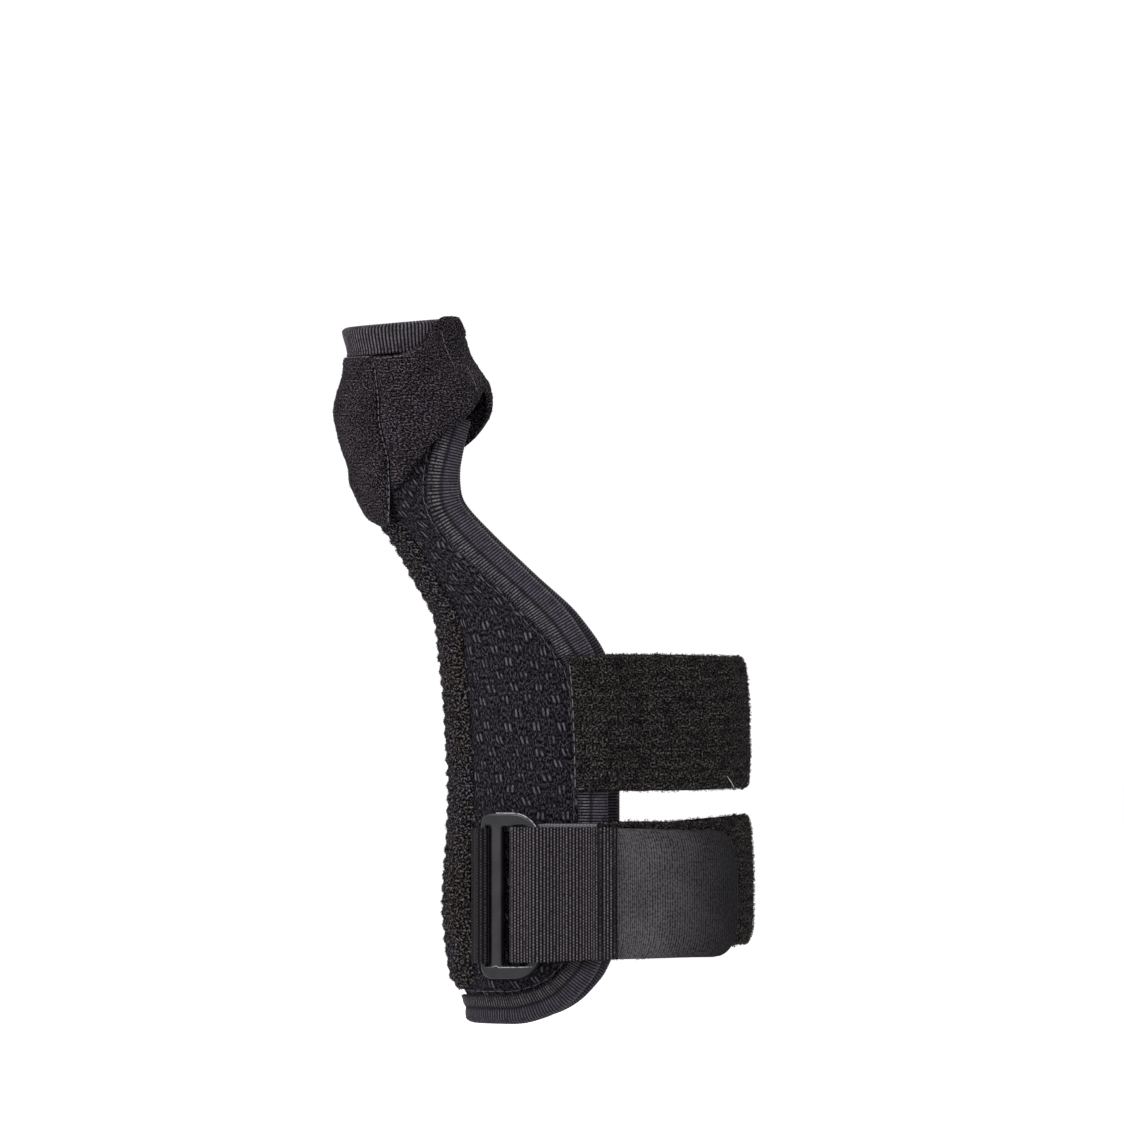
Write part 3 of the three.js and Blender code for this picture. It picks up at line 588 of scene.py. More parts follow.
# %% [markdown]
# ## The pocket on the thumb side
#
# A padded strip runs along the thumb side. Its looped face is pulled in at every row of the knit, so
# its outline is a row of small scallops.

# %% Pocket
POCKET = np.array([
    (-0.905, 9, 0.45), (-0.895, 18, 0.7), (-0.87, 25, 0.9), (-0.8, 28, 1), (-0.25, 27, 0.85),
    (0.15, 26, 1), (0.36, 29, 0.95), (0.5, 30, 1), (0.59, 28, 0.85),
])


def pocket_finish():
    looped = Finish("looped pocket", Specular_IOR_Level=0.03)
    place, s, _, _ = looped.cloth()
    grain = looped.noise(place, 1.5, 3)
    patch = looped.noise(place, 0.13, 2)
    olive = s.between(5, 9) * patch.between(0.3, 0.55) * 0.65
    dark = looped.mix(olive, (0.0012, 0.001, 0.0014), (0.002, 0.0016, 0.0012))
    light = looped.mix(olive, (0.085, 0.075, 0.092), (0.072, 0.062, 0.05))
    colour = looped.mix(grain.between(0.48, 0.64), dark, light)
    return looped.paint(colour, 0.97, grain.between(0.35, 0.65), 0.3)


POCKET_FINISH = pocket_finish()
pocket_spread, pocket_fill = curve(POCKET, 1), curve(POCKET, 2)
SCALLOP = 0.55


def pocket_grid(rows, columns):
    low, high = z_of(POCKET[0, 0]), z_of(POCKET[-1, 0])
    z = np.linspace(low, high, rows)[:, None]
    side = np.linspace(-1, 1, columns)[None, :]
    return side * pocket_spread(height_of(z)), z + 0 * side, side + 0 * z


angle, z, side = pocket_grid(rows=281, columns=81)
base = panel_thickness(z) + CLEARANCE * (1 - 0.8 * side ** 6)
s, t = places_on_cloth(on_form(angle, z, base))
thickness = POCKET_THICKNESS * pocket_fill(height_of(z)) * (1 - 0.85 * side ** 4)
row_bumps = 0.5 + 0.5 * np.cos(2 * np.pi * (t / ROW_STEP + 0.12 * np.sin(s / 3)))
inside = smooth(np.abs(side), 1, 0.85) * smooth(z, 65, 58)
relief = (SCALLOP * (row_bumps - 0.5) + 0.42 * loops(s, t, 1.15, 3)) * inside
outer = on_form(angle, z, base + thickness + relief)
pins = (np.abs(side) > 0.96) | (z < -73) | (z > 56)
outer += puffed(outer, pins[::COARSE, ::COARSE], push=60, most=0.35) * inside[..., None]
inner = on_form(angle, z, base)[::COARSE, ::COARSE]
pocket_places = (outer, s, t, side)
pocket = slab("stay_pocket_cloth", outer, inner, s, t, POCKET_FINISH)
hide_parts("stay_pocket")

# %% [markdown]
# ## The folded tape
#
# The open edge is bound with a ribbed tape, folded over it. Its section is swept along the edge in
# steps of a quarter rib, so that each rib is a real ridge. A groove parts the flat inner band from the
# rolled outer one.

# %% Tape finish and section
RIB_STEP, RIM_RIB_STEP = 0.84, 0.95


def tape_finish(name, two_bands):
    tape = Finish(name, Specular_IOR_Level=0.08)
    place, s, t, _ = tape.cloth()
    # s runs across the tape from its rolled edge, t along it
    rib = (t * (2 * math.pi / RIB_STEP)).cosine().between(-0.6, 0.7)
    grain = tape.noise(place, 2.2, 3)
    patch = tape.noise(place, 0.3, 2).between(0.3, 0.6)
    lit = rib * grain.between(0.25, 0.6) * (0.55 + patch * 0.45)
    if two_bands:
        groove = abs(s - 2.8).between(0.8, 0.1)
        outer_band = s.between(3.1, 2.2)
        hem = s.between(5.4, 6.1)
        # t counts from the edge's upper end on the back of the hand: its forearm end is darker
        at_forearm_end = t.between(120, 170) * t.between(330, 280)
        # painted shade: the ribs are darkened in the groove between the bands; they are also darker
        # towards the hem
        lit = lit * (1 - groove * 0.8) * (1 - hem * 0.6)
        lit = lit * (1 - at_forearm_end * (0.42 - outer_band * 0.14))
        dark = tape.mix(outer_band, (0.0022, 0.002, 0.0026), (0.006, 0.0054, 0.0082))
        light = tape.mix(outer_band, (0.115, 0.102, 0.118), (0.078, 0.068, 0.086))
    else:
        dark, light = (0.002, 0.0018, 0.0024), (0.092, 0.081, 0.095)
    return tape.paint(tape.mix(lit, dark, light), 0.82 - lit * 0.2, lit * 0.6 + grain * 0.25, 0.2)


TAPE, RIM_FINISH = tape_finish("ribbed tape", True), tape_finish("rim tape", False)
# the shown side of the section: distance into the cloth, and how far the tape swells there
EDGE_TAPE = np.array([
    (6.4, 0.0), (6.1, 0.1), (5.7, 0.14), (5.3, 0.02), (4.8, 0.15), (4.2, 0.24), (3.6, 0.2),
    (3.1, 0.02), (2.8, -0.16), (2.4, 0.0), (1.9, 0.2), (1.2, 0.3), (0.6, 0.32),
])
# how far the hem dips, and how much wider and fuller than half a ring the rolled edge is
HEM_TUCK, ROLL_WIDER, ROLL_FULLER = 0.55, 1.08, 0.28


def tape_section(legs, thick):
    """The closed section: inward, lift, swell and rib share, each an array."""
    middle = thick / 2
    reach = middle + TAPE_CLEARANCE + TAPE_THICKNESS
    hem, back_hem = legs[0][0], legs[0][0] - 0.6
    points = [(inward, middle + reach + swell, 1.0) for inward, swell in legs]
    points[0] = (hem, points[0][1] - HEM_TUCK, 1.0)
    for turn in np.radians(np.linspace(80, -80, 9)):
        roll = -(reach - middle) * math.cos(turn) * ROLL_WIDER
        lift = middle + (reach + ROLL_FULLER * math.sin(turn)) * math.sin(turn)
        points.append((roll, lift, 1.0))
    points += [(inward, middle - reach, 0.4) for inward in (1.5, 3.5, back_hem)]
    under = reach - TAPE_THICKNESS
    points += [(back_hem, middle - under, 0.0), (0, middle - under, 0.0)]
    points += [(-(under - middle) * 0.9, middle, 0.0)]
    points += [(0, middle + under, 0.0), (hem, middle + under, 0.0)]
    return np.array(points)


def flat_width(section):
    """How wide the tape was before it was folded: half the way round its section."""
    round_it = np.diff(np.concatenate([section, section[:1]])[:, :2], axis=0)
    return float(np.linalg.norm(round_it, axis=1).sum()) / 2


def sweep(name, rings, s, t, finish, closed):
    """A tube from rings of points: (rings, points round, 3)."""
    count, around = rings.shape[:2]
    index = np.arange(count * around).reshape(count, around)
    index = np.concatenate([index, index[:, :1]], 1)
    if closed:
        index = np.concatenate([index, index[:1]], 0)
    faces = quads(index, flip=True)
    if not closed:
        faces += [index[0, :-1].tolist(), index[-1, :-1][::-1].tolist()]
    cloth = np.stack([s, t, 0 * s], -1).reshape(-1, 3)
    return add_mesh(name, rings.reshape(-1, 3), faces, cloth, finish)


# %% [markdown]
# The path of the open edge comes from the panel's own rows: down the back of the hand, along the
# forearm end, and up the palm. Cutting its corners three times rounds it, as a sewer's hand does.

# %% Edge tape
FOREARM_STEPS = 8


def edge_path(spacing):
    rows = np.append(PANEL_ROWS[PANEL_ROWS < TAPE_TOP_HEIGHT], TAPE_TOP_HEIGHT)
    dorsal, palmar = dorsal_edge(rows), palmar_edge(rows)
    end = np.linspace(dorsal[0], palmar[0], FOREARM_STEPS + 1)[1:-1]
    down = np.stack([dorsal, z_of(rows)], 1)[::-1]
    round_end = np.stack([end, 0 * end - FOREARM_LENGTH], 1)
    path = np.concatenate([down, round_end, np.stack([palmar, z_of(rows)], 1)])
    for _ in range(3):
        cut = np.stack([mix(path[:-1], path[1:], part) for part in (0.25, 0.75)], 1)
        path = np.concatenate([path[:1], cut.reshape(-1, 2), path[-1:]])
    along = length_along(on_form(path[:, 0], path[:, 1], 1.5))
    even = np.linspace(0, along[-1], int(along[-1] / spacing) + 1)
    return np.interp(even, along, path[:, 0]), np.interp(even, along, path[:, 1]), even


def unit(directions):
    """The same directions, each of length 1."""
    return directions / np.linalg.norm(directions, axis=1, keepdims=True)


def into_panel(angle, z):
    """One millimetre into the panel, square to its edge, in degrees and millimetres up."""
    step = 0.5
    along = unit(np.gradient(on_form(angle, z, 0), axis=0))
    by_angle = (on_form(angle + step, z, 0) - on_form(angle - step, z, 0)) / (2 * step)
    by_z = (on_form(angle, z + step, 0) - on_form(angle, z - step, 0)) / (2 * step)
    inward = np.cross(along, unit(np.cross(by_angle, by_z)))
    dot = lambda a, b: (a * b).sum(1)
    aa, ab, bb = dot(by_angle, by_angle), dot(by_angle, by_z), dot(by_z, by_z)
    pa, pb = dot(inward, by_angle), dot(inward, by_z)
    scale = aa * bb - ab * ab
    return (pa * bb - pb * ab) / scale, (pb * aa - pa * ab) / scale


edge_angle, edge_z, edge_along = edge_path(RIB_STEP / 4)
step_angle, step_z = into_panel(edge_angle, edge_z)


def beside_edge(inward, lift):
    """Points beside the open edge: inward and lift in millimetres."""
    return on_form(edge_angle + inward * step_angle, edge_z + inward * step_z, lift)


def edge_tape():
    section = tape_section(EDGE_TAPE, PANEL_THICKNESS)
    thin = panel_thickness(edge_z) / PANEL_THICKNESS
    rib = np.cos(2 * np.pi * edge_along / RIB_STEP)
    uneven = hills(edge_along / 5, 0 * edge_along, 8)
    rings = []
    for inward, lift, share in section:
        swell = share * (0.1 * rib + 0.08 * uneven)
        shift = 0 if inward < 6.0 else 0.18 * hills(edge_along / 4, 0 * edge_along, 4)
        rolled = 0.05 * rib * share if inward < 0 else 0
        rings.append(beside_edge(inward + shift - rolled, lift * thin + swell))
    rings = np.stack(rings, 1)
    s = np.broadcast_to(section[:, 0], rings.shape[:2])
    t = np.broadcast_to(edge_along[:, None], rings.shape[:2])
    return sweep("edge_tape", rings, s, t, TAPE, closed=False)


tape_piece = edge_tape()
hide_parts("edge_binding")
edge_tape_width = flat_width(tape_section(EDGE_TAPE, PANEL_THICKNESS))
print("the open edge is", round(edge_along[-1]), "mm long")
print("its tape is", round(edge_tape_width, 1), "mm wide when flat")

# %% [markdown]
# The thumb's rim has the same tape, as a closed ring. It is tallest on the thumb's outer side, and the
# plush flap hides its lower part on the other side.

# %% Thumb tape
RIM_TAPE = np.array([
    (7.0, 0.0), (6.7, 0.1), (6.2, 0.12), (5.8, 0.02), (5.2, 0.14), (4.4, 0.22), (3.4, 0.26),
    (2.4, 0.28), (1.4, 0.28), (0.6, 0.28),
])


def thumb_tape():
    around = 2 * math.pi * (THUMB_HALF_WIDTH + THUMB_PANEL_THICKNESS)
    ribs = round(around / RIM_RIB_STEP)
    turns = np.linspace(0, 360, ribs * 4, endpoint=False)
    along = turns / 360 * ribs * RIB_STEP
    rib = np.cos(2 * np.pi * along / RIB_STEP)
    section = tape_section(RIM_TAPE, THUMB_PANEL_THICKNESS)
    rings = []
    for inward, lift, share in section:
        swell = share * (0.11 * rib + 0.08 * hills(along / 6, 0 * along, 2))
        rolled = 0.04 * rib * share if inward < 0 else 0
        z = THUMB_LENGTH - inward + rim_tilt(turns, THUMB_LENGTH) + rolled
        rings.append(on_form(turns, z, lift + swell))
    rings = np.stack(rings, 1)
    s = np.broadcast_to(section[:, 0], rings.shape[:2])
    t = np.broadcast_to(along[:, None], rings.shape[:2])
    return sweep("thumb_tape", rings, s, t, RIM_FINISH, closed=True)


thumb_ring = thumb_tape()
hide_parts("thumb_binding")
rim_tape_width = flat_width(tape_section(RIM_TAPE, THUMB_PANEL_THICKNESS))
print("its tape is", round(rim_tape_width, 1), "mm wide when flat")

# %% [markdown]
# ## The plush round the thumb
#
# Two layers of short plush close round the thumb, a padded lobe on its outer side and a broad flap over
# the front, the web and the palm side. They meet in a seam with a light thread. The plush is a fine
# grain of loops, and the tops of the loops are painted lighter, as a painted highlight.

# %% Plush finish
def plush_finish():
    plush = Finish("plush", Specular_IOR_Level=0.04)
    place, _, t, _ = plush.cloth()
    grain = plush.noise(place, 2.2, 3)
    wale = (t * (2 * math.pi / 1.05) + plush.noise(place, 0.5, 2) * 7).cosine() * 0.5 + 0.5
    patch = plush.noise(place, 0.12, 2)
    # painted highlight on the tops of the loops
    lit_tops = grain.between(0.47, 0.62) * (wale * 0.4 + 0.6)
    colour = plush.mix(lit_tops, (0.0008, 0.0006, 0.0009), (0.092, 0.079, 0.093))
    shade = plush.mix(patch.between(0.35, 0.65), (0.75, 0.75, 0.75), (1.15, 1.1, 1.12))
    colour = plush.mix(1.0, colour, shade, "MULTIPLY")
    return plush.paint(colour, 0.96, grain.between(0.35, 0.65) + wale * 0.2, 0.25)


PLUSH = plush_finish()
# height, then the seam's angle; the seam sits a little nearer the web than the plain model's
LOBE_SEAM = np.array([
    (0.48, 27), (0.502, 31), (0.541, 40.6), (0.58, 47), (0.618, 52.5), (0.677, 59.7), (0.75, 60.6),
    (0.813, 62.6), (0.935, 59.2),
])
LOBE_PALM_ANGLE, SEAM_GAP = -72, 1.2
LOBE_END = np.array([(0, 0.6), (0.3, 0.556), (0.55, 0.53), (0.8, 0.5), (0.93, 0.497), (1, 0.506)])
# height, then how much the lobe's padding stands out there, in millimetres
LOBE_PADDING = np.array([
    (0.48, -0.8), (0.52, -1.0), (0.56, -1.6), (0.598, -1.8), (0.63, -1.3), (0.66, -0.6),
    (0.7, -0.6), (0.781, -1.0), (0.83, -1.0), (0.867, -1.4), (0.898, -0.9), (0.935, -0.2),
])
# share of the way round from the front seam, then the flap's lower and upper edge
FLAP = np.array([
    (0, 0.591, 0.93), (0.06, 0.626, 0.931), (0.132, 0.692, 0.936), (0.204, 0.735, 0.955),
    (0.262, 0.762, 0.993), (0.33, 0.8, 1.022), (0.41, 0.836, 1.02), (0.5, 0.855, 1.0),
    (0.576, 0.83, 0.985), (0.66, 0.78, 0.98), (0.8, 0.7, 0.98), (1, 0.63, 0.98),
])
seam_angle, lobe_end, lobe_padding = curve(LOBE_SEAM, 1), curve(LOBE_END, 1), curve(LOBE_PADDING, 1)
flap_low, flap_high = curve(FLAP, 1), curve(FLAP, 2)
# how wide the rolled edge is, how hard the padding presses, and the most it moves the plush
EDGE_ROLL, PLUSH_PUSH, MOST_PUFF = 1.6, 2.5, 0.5
plush_places = {}


def cover(name, height, angle, lift, padding, seed):
    """A plush layer that is rolled under along its edges."""
    z = z_of(height)
    base = on_form(angle, z, lift)
    s, t = places_on_cloth(base)
    t = t + (z - z[:, z.shape[1] // 2][:, None])
    steps = np.linalg.norm(np.diff(base, axis=0), axis=2)
    rows = np.concatenate([np.zeros((1, s.shape[1])), np.cumsum(steps, 0)])
    from_edge = np.minimum(from_sides(s), np.minimum(rows, rows[-1] - rows))
    full = np.sqrt(np.clip(1 - (1 - np.clip(from_edge / EDGE_ROLL, 0, 1)) ** 2, 0, 1))
    inside = smooth(from_edge, 0, 2)
    waves = 0.22 * hills(s / 9, t / 6, seed + 1) * smooth(from_edge, 1, 6)
    relief = inside * (0.13 * loops(s, t, 1.0, seed) + waves)
    tilted = z + rim_tilt(angle, z)
    outer = on_form(angle, tilted, lift + (COVER_THICKNESS + padding) * mix(0.35, 1, full) + relief)
    held = (from_edge < 1.2)[::COARSE, ::COARSE]
    outer += puffed(outer, held, PLUSH_PUSH, MOST_PUFF, grow=0.02) * inside[..., None]
    inner = on_form(angle, tilted, lift)[::COARSE, ::COARSE]
    plush_places[name] = (outer, s, t)
    piece = slab(name, outer, inner, s, t, PLUSH)
    return piece


def lobe_lift(angle, height):
    over_pocket = smooth(height, 0.66, 0.595) * smooth(np.abs(angle), 54, 34)
    return panel_thickness(z_of(height)) + CLEARANCE + over_pocket * (POCKET_THICKNESS + CLEARANCE)


def thumb_lobe():
    share, up = np.linspace(0, 1, 97)[None, :], np.linspace(0, 1, 121)[:, None]
    height = mix(lobe_end(share), LOBE_SEAM[-1, 0], up)
    angle = mix(LOBE_PALM_ANGLE, seam_angle(height) - SEAM_GAP, share)
    return cover("thumb_lobe_plush", height, angle, lobe_lift(angle, height), lobe_padding(height), 11)


def flap_lift(angle, height):
    on_edge_tape = smooth(angle, 62, 80) * smooth(angle, 302, 282)
    on_tape = np.maximum(on_edge_tape, smooth(height, 0.885, 0.93))
    return panel_thickness(z_of(height)) + CLEARANCE + on_tape * (TAPE_THICKNESS + TAPE_CLEARANCE)


def flap_thinner(angle, height):
    """By how much the flap is thinner than the lobe, near the rim on the web side."""
    return 1.2 * smooth(height, 0.92, 0.99) * smooth(angle, 80, 150)


def thumb_flap():
    share, up = np.linspace(0, 1, 181)[None, :], np.linspace(0, 1, 121)[:, None]
    height = mix(flap_low(share), flap_high(share), up)
    angle = mix(seam_angle(height) + SEAM_GAP, 360 + LOBE_PALM_ANGLE - SEAM_GAP, share)
    padding = -flap_thinner(angle, height)
    return cover("thumb_flap_plush", height, angle, flap_lift(angle, height), padding, 23)


lobe = thumb_lobe()
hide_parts("thumb_lobe")
flap = thumb_flap()
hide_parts("thumb_flap")

# %% [markdown]
# ## The loop pile straps
#
# Both straps are unbroken loop: a dense, short, slightly brown pile that hook tape can grip anywhere.
# The pile is a fine grid with random hills, and its edges are ragged. Where the straps pass the panel's
# edge they come down to the skin.

# %% Pile straps
WRIST_STRAP_ENDS, FOREARM_STRAP_ENDS = (78.2, 285), (88.6, 288)
STEP_OFF, STEP_ON = (93, 108), (251, 264)


def strap_lift(angle):
    on_panel = PANEL_THICKNESS + TAPE_CLEARANCE + TAPE_THICKNESS + CLEARANCE + STRAP_SLACK
    return mix(on_panel, CLEARANCE, smooth(angle, *STEP_OFF) * (1 - smooth(angle, *STEP_ON)))


def pile_finish():
    pile = Finish("loop pile", Specular_IOR_Level=0.03)
    place, _, t, hidden = pile.cloth()
    grain = pile.noise(place, 1.85, 3)
    patch = pile.noise(place, 0.22, 3)
    wave = (t * (2 * math.pi / 3.3) + pile.noise(place, 0.25, 1) * 9).cosine() * 0.5 + 0.5
    # painted highlight on the tops of the loops
    lit_tops = grain.between(0.44, 0.66) * patch.between(0.2, 0.55) * (wave * 0.45 + 0.55)
    shown = pile.mix(lit_tops, (0.0014, 0.0012, 0.0012), (0.078, 0.068, 0.068))
    back = pile.mix(grain.between(0.4, 0.7), (0.01, 0.0095, 0.01), (0.018, 0.017, 0.018))
    return pile.paint(pile.mix(hidden, shown, back), 0.97, grain.between(0.35, 0.65), 0.3)


PILE = pile_finish()
pile_places = {}
# in millimetres: on the little finger side, and where the forearm strap starts
STRAP_NARROWER, STRAP_HIGHER = 0.7, 0.9
START_HIGHER, LOW_EDGE_TUCK = 1.9, 0.45


def pile_strap(name, ends, centre, rise, seed):
    """rise is how far the strap climbs on its way round; a level strap has 0."""
    rows, columns = 97, 409
    angle = np.linspace(*ends, columns)[None, :]
    side = np.linspace(-1, 1, rows)[:, None]
    climb = rise * smooth(angle, 90, 170) * smooth(angle, 280, 190)
    # where it turns to the palm side the strap is a little narrower and its edges curl in
    turn = smooth(angle, 120, 172) * smooth(angle, 245, 190)
    z = centre + side * (STRAP_WIDTH / 2 - STRAP_NARROWER * turn) + climb
    if rise:
        tucked = LOW_EDGE_TUCK * (1 - side) * smooth(angle, 80, 98) * smooth(angle, 250, 200)
        z = z + STRAP_HIGHER * turn + START_HIGHER * smooth(angle, 145, 92) + tucked
    angle = angle + 0 * z
    s, t = places_on_cloth(on_form(angle, z, strap_lift(angle)))
    t = z - z[:1]
    from_edge = np.minimum(from_sides(s), STRAP_WIDTH / 2 * (1 - np.abs(side)))
    inside = smooth(from_edge, 0, 0.8)
    curled = np.sqrt(1 - (1 - np.clip(from_edge / 5, 0, 1)) ** 2)
    full = mix(mix(0.35, 1, inside), mix(0.25, 1, curled), turn)
    pile = 0.3 * loops(s, t, 0.95, seed) + 0.18 * hills(s / 6, t / 5, seed + 9)
    relief = mix(0.4, 1, inside) * pile
    ragged = smooth(np.abs(side), 0.94, 1) * np.sign(side) * 0.35 * loops(s, t, 1.3, seed + 2)
    outer = on_form(angle, z + ragged, strap_lift(angle) + PILE_THICKNESS * full + relief)
    inner = on_form(angle, z, strap_lift(angle))[::COARSE, ::COARSE]
    pile_places[name] = (outer, s, t, angle, side)
    piece = slab(name, outer, inner, s, t, PILE)
    length = middle_length(inner)
    print(name, "was cut", round(length), "mm long")
    return piece


wrist_strap = pile_strap("wrist_strap_pile", WRIST_STRAP_ENDS, WRIST_STRAP_Z, 0, 31)
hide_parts("wrist_strap")
forearm_strap = pile_strap(
    "forearm_strap_pile", FOREARM_STRAP_ENDS, FOREARM_STRAP_Z, FOREARM_STRAP_RISE, 47)
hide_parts("forearm_strap")

# %% [markdown]
# Against the light the pile is a fringe. Small loops of yarn stand out of both straps, close together
# along their long edges and round the turn on the little finger side, and sparse elsewhere. The pocket
# and the plush get fewer and shorter ones. Each loop is half a ring of thin yarn.

# %% Yarn loops
YARN = 0.06
RING_STEPS, YARN_SIDES = 3, 3


def yarn_loops(name, outer, s, t, chance, tall, wide, count, finish, seed):
    """chance says how likely a loop stands at each place of the outer grid."""
    dice = np.random.default_rng(seed)
    flat_chance = (chance / chance.sum()).ravel()
    pick = dice.choice(flat_chance.size, count, p=flat_chance)
    right = unit(np.gradient(outer, axis=1).reshape(-1, 3)[pick])
    up = np.gradient(outer, axis=0).reshape(-1, 3)[pick]
    out = unit(np.cross(right, up))
    side = np.cross(out, right)
    way = dice.uniform(0, 2 * np.pi, (count, 1))
    flat = np.cos(way) * right + np.sin(way) * side
    lean = dice.uniform(-0.5, 0.5, (count, 1)) * np.cross(out, flat) + out
    high = tall * dice.uniform(0.5, 1.3, (count, 1))
    half = wide / 2 * dice.uniform(0.6, 1.3, (count, 1))
    turn = np.linspace(-0.25, np.pi + 0.25, RING_STEPS + 1)
    centre = outer.reshape(-1, 3)[pick]
    beside = np.cross(flat, lean)
    rings = []
    for angle in turn:
        spoke = math.cos(angle) * flat + math.sin(angle) * lean
        middle = centre + math.cos(angle) * half * flat + math.sin(angle) * high * lean
        for k in range(YARN_SIDES):
            part = 2 * math.pi * k / YARN_SIDES
            rings.append(middle + YARN * (math.cos(part) * spoke + math.sin(part) * beside))
    points = np.stack(rings, 1)
    ring = np.arange(len(turn) * YARN_SIDES).reshape(len(turn), YARN_SIDES)
    one = np.array(quads(np.concatenate([ring, ring[:, :1]], 1)))
    faces = (one[None] + (np.arange(count) * ring.size)[:, None, None]).reshape(-1, 4).tolist()
    places = np.stack([s.ravel()[pick], t.ravel()[pick], 0 * pick], 1)
    cloth = places[:, None, :] + np.zeros((1, ring.size, 1))
    return add_mesh(name, points.reshape(-1, 3), faces, cloth.reshape(-1, 3), finish)


def loop_yarn_finish():
    yarn = Finish("loop yarn", Specular_IOR_Level=0.1)
    place = yarn.cloth()[0]
    shade = yarn.noise(place, 3.0, 2)
    colour = yarn.mix(shade.between(0.35, 0.65), (0.002, 0.0018, 0.0018), (0.05, 0.045, 0.044))
    return yarn.paint(colour, 0.95, shade, 0.02)


LOOP_YARN = loop_yarn_finish()
for name, (outer, s, t, angle, side) in pile_places.items():
    edge = smooth(np.abs(side), 0.93, 1)
    bend = smooth(angle, 140, 165) * smooth(angle, 225, 200)
    chance = 0.12 + 2.2 * edge + 0.5 * bend + 0 * s
    yarn_loops(name + "_loops", outer, s, t, chance, tall=0.55, wide=0.7, count=3200,
               finish=LOOP_YARN, seed=len(name))
outer, s, t, side = pocket_places
chance = 0.5 + smooth(np.abs(side), 0.35, 0) + 0 * s
yarn_loops("pocket_loops", outer, s, t, chance, tall=0.3, wide=0.6, count=2600,
           finish=LOOP_YARN, seed=7)
for name, (outer, s, t) in plush_places.items():
    yarn_loops(name + "_loops", outer, s, t, np.ones_like(s), tall=0.16, wide=0.45, count=1500,
               finish=LOOP_YARN, seed=len(name))

# %% [markdown]
# ## The slide buckle
#
# The buckle is one moulding: a thin left bar, a satin middle bar, a right bar that the webbing folds
# over, and rounded corners. A flat curve with two holes, extruded and bevelled, gives it the soft edges
# of moulded plastic. It lies tilted, flat on the form.

# %% Buckle
BUCKLE_ANGLE, BUCKLE_THICKNESS = 56, 2.6
BUCKLE_END_BAR, BUCKLE_RIGHT_BAR, BUCKLE_WIDE_SLOT = 3.8, 3.6, 8.3
BUCKLE_MIDDLE_BAR, BUCKLE_LEFT_BAR, BUCKLE_MIDDLE_BAR_X = 3.4, 1.2, -5.7
SLOT_HALF = STRAP_WIDTH / 2 + 0.5
BUCKLE_FLOOR = 2 * CLEARANCE + WEBBING_THICKNESS
BUCKLE_TOP = BUCKLE_FLOOR + BUCKLE_THICKNESS
BUCKLE_BEVEL = 0.7
# left and right corner of the outline and of both slots; the bevel makes the outline's rounder
OUTLINE_CORNERS, NARROW_CORNERS, WIDE_CORNERS = (2.8, 7.6), (0.8, 0.8), (1.2, 2.6)
MIDDLE_LEFT = BUCKLE_MIDDLE_BAR_X - BUCKLE_MIDDLE_BAR / 2
MIDDLE_RIGHT = BUCKLE_MIDDLE_BAR_X + BUCKLE_MIDDLE_BAR / 2
NARROW_LEFT = MIDDLE_LEFT - TAB_THICKNESS - 2 * CLEARANCE
BUCKLE_LEFT = NARROW_LEFT - BUCKLE_LEFT_BAR
WIDE_RIGHT = MIDDLE_RIGHT + BUCKLE_WIDE_SLOT
BUCKLE_RIGHT = WIDE_RIGHT + BUCKLE_RIGHT_BAR

seat = on_form(BUCKLE_ANGLE, FOREARM_STRAP_Z, PANEL_THICKNESS)
out_of_panel = on_form(BUCKLE_ANGLE, FOREARM_STRAP_Z, PANEL_THICKNESS + 1) - seat
along_panel = np.cross((0, 0, 1), out_of_panel)


def in_buckle(x, out, up=0.0):
    """A place in the buckle's own frame, in millimetres of the splint."""
    x, out, up = np.broadcast_arrays(x, out, up)
    sideways, outward = x[..., None] * along_panel, out[..., None] * out_of_panel
    return seat + sideways + outward + up[..., None] * np.array((0, 0, 1))


def plastic_finish():
    plastic = Finish("satin plastic", Specular_IOR_Level=0.26)
    place, _, t, _ = plastic.cloth()
    speck = plastic.noise(place, 1.2, 4)
    smear = plastic.noise(place, 0.18, 2)
    colour = plastic.mix(smear.between(0.3, 0.7), (0.009, 0.0078, 0.0102), (0.017, 0.015, 0.0188))
    # t is the height in the buckle's own frame: its end bars are darker, as painted shade
    colour = plastic.mix(abs(t).between(18.5, 20.5) * 0.55, colour, (0.003, 0.0028, 0.0032))
    return plastic.paint(colour, speck * 0.18 + 0.27, speck, 0.03)


PLASTIC = plastic_finish()


CORNER_POINTS = 9


def rounded(left, right, half, left_corner, right_corner):
    """A box's outline with round corners, as points. It starts with the upper right corner."""
    points = []
    corners = ((right, half, right_corner, 0), (left, half, left_corner, 90),
               (left, -half, left_corner, 180), (right, -half, right_corner, 270))
    for x, y, radius, start in corners:
        centre_x = x - math.copysign(radius, x - (left + right) / 2)
        centre_y = y - math.copysign(radius, y)
        for turn in np.radians(start + np.linspace(0, 90, CORNER_POINTS)):
            points.append((centre_x + radius * math.cos(turn), centre_y + radius * math.sin(turn)))
    return points


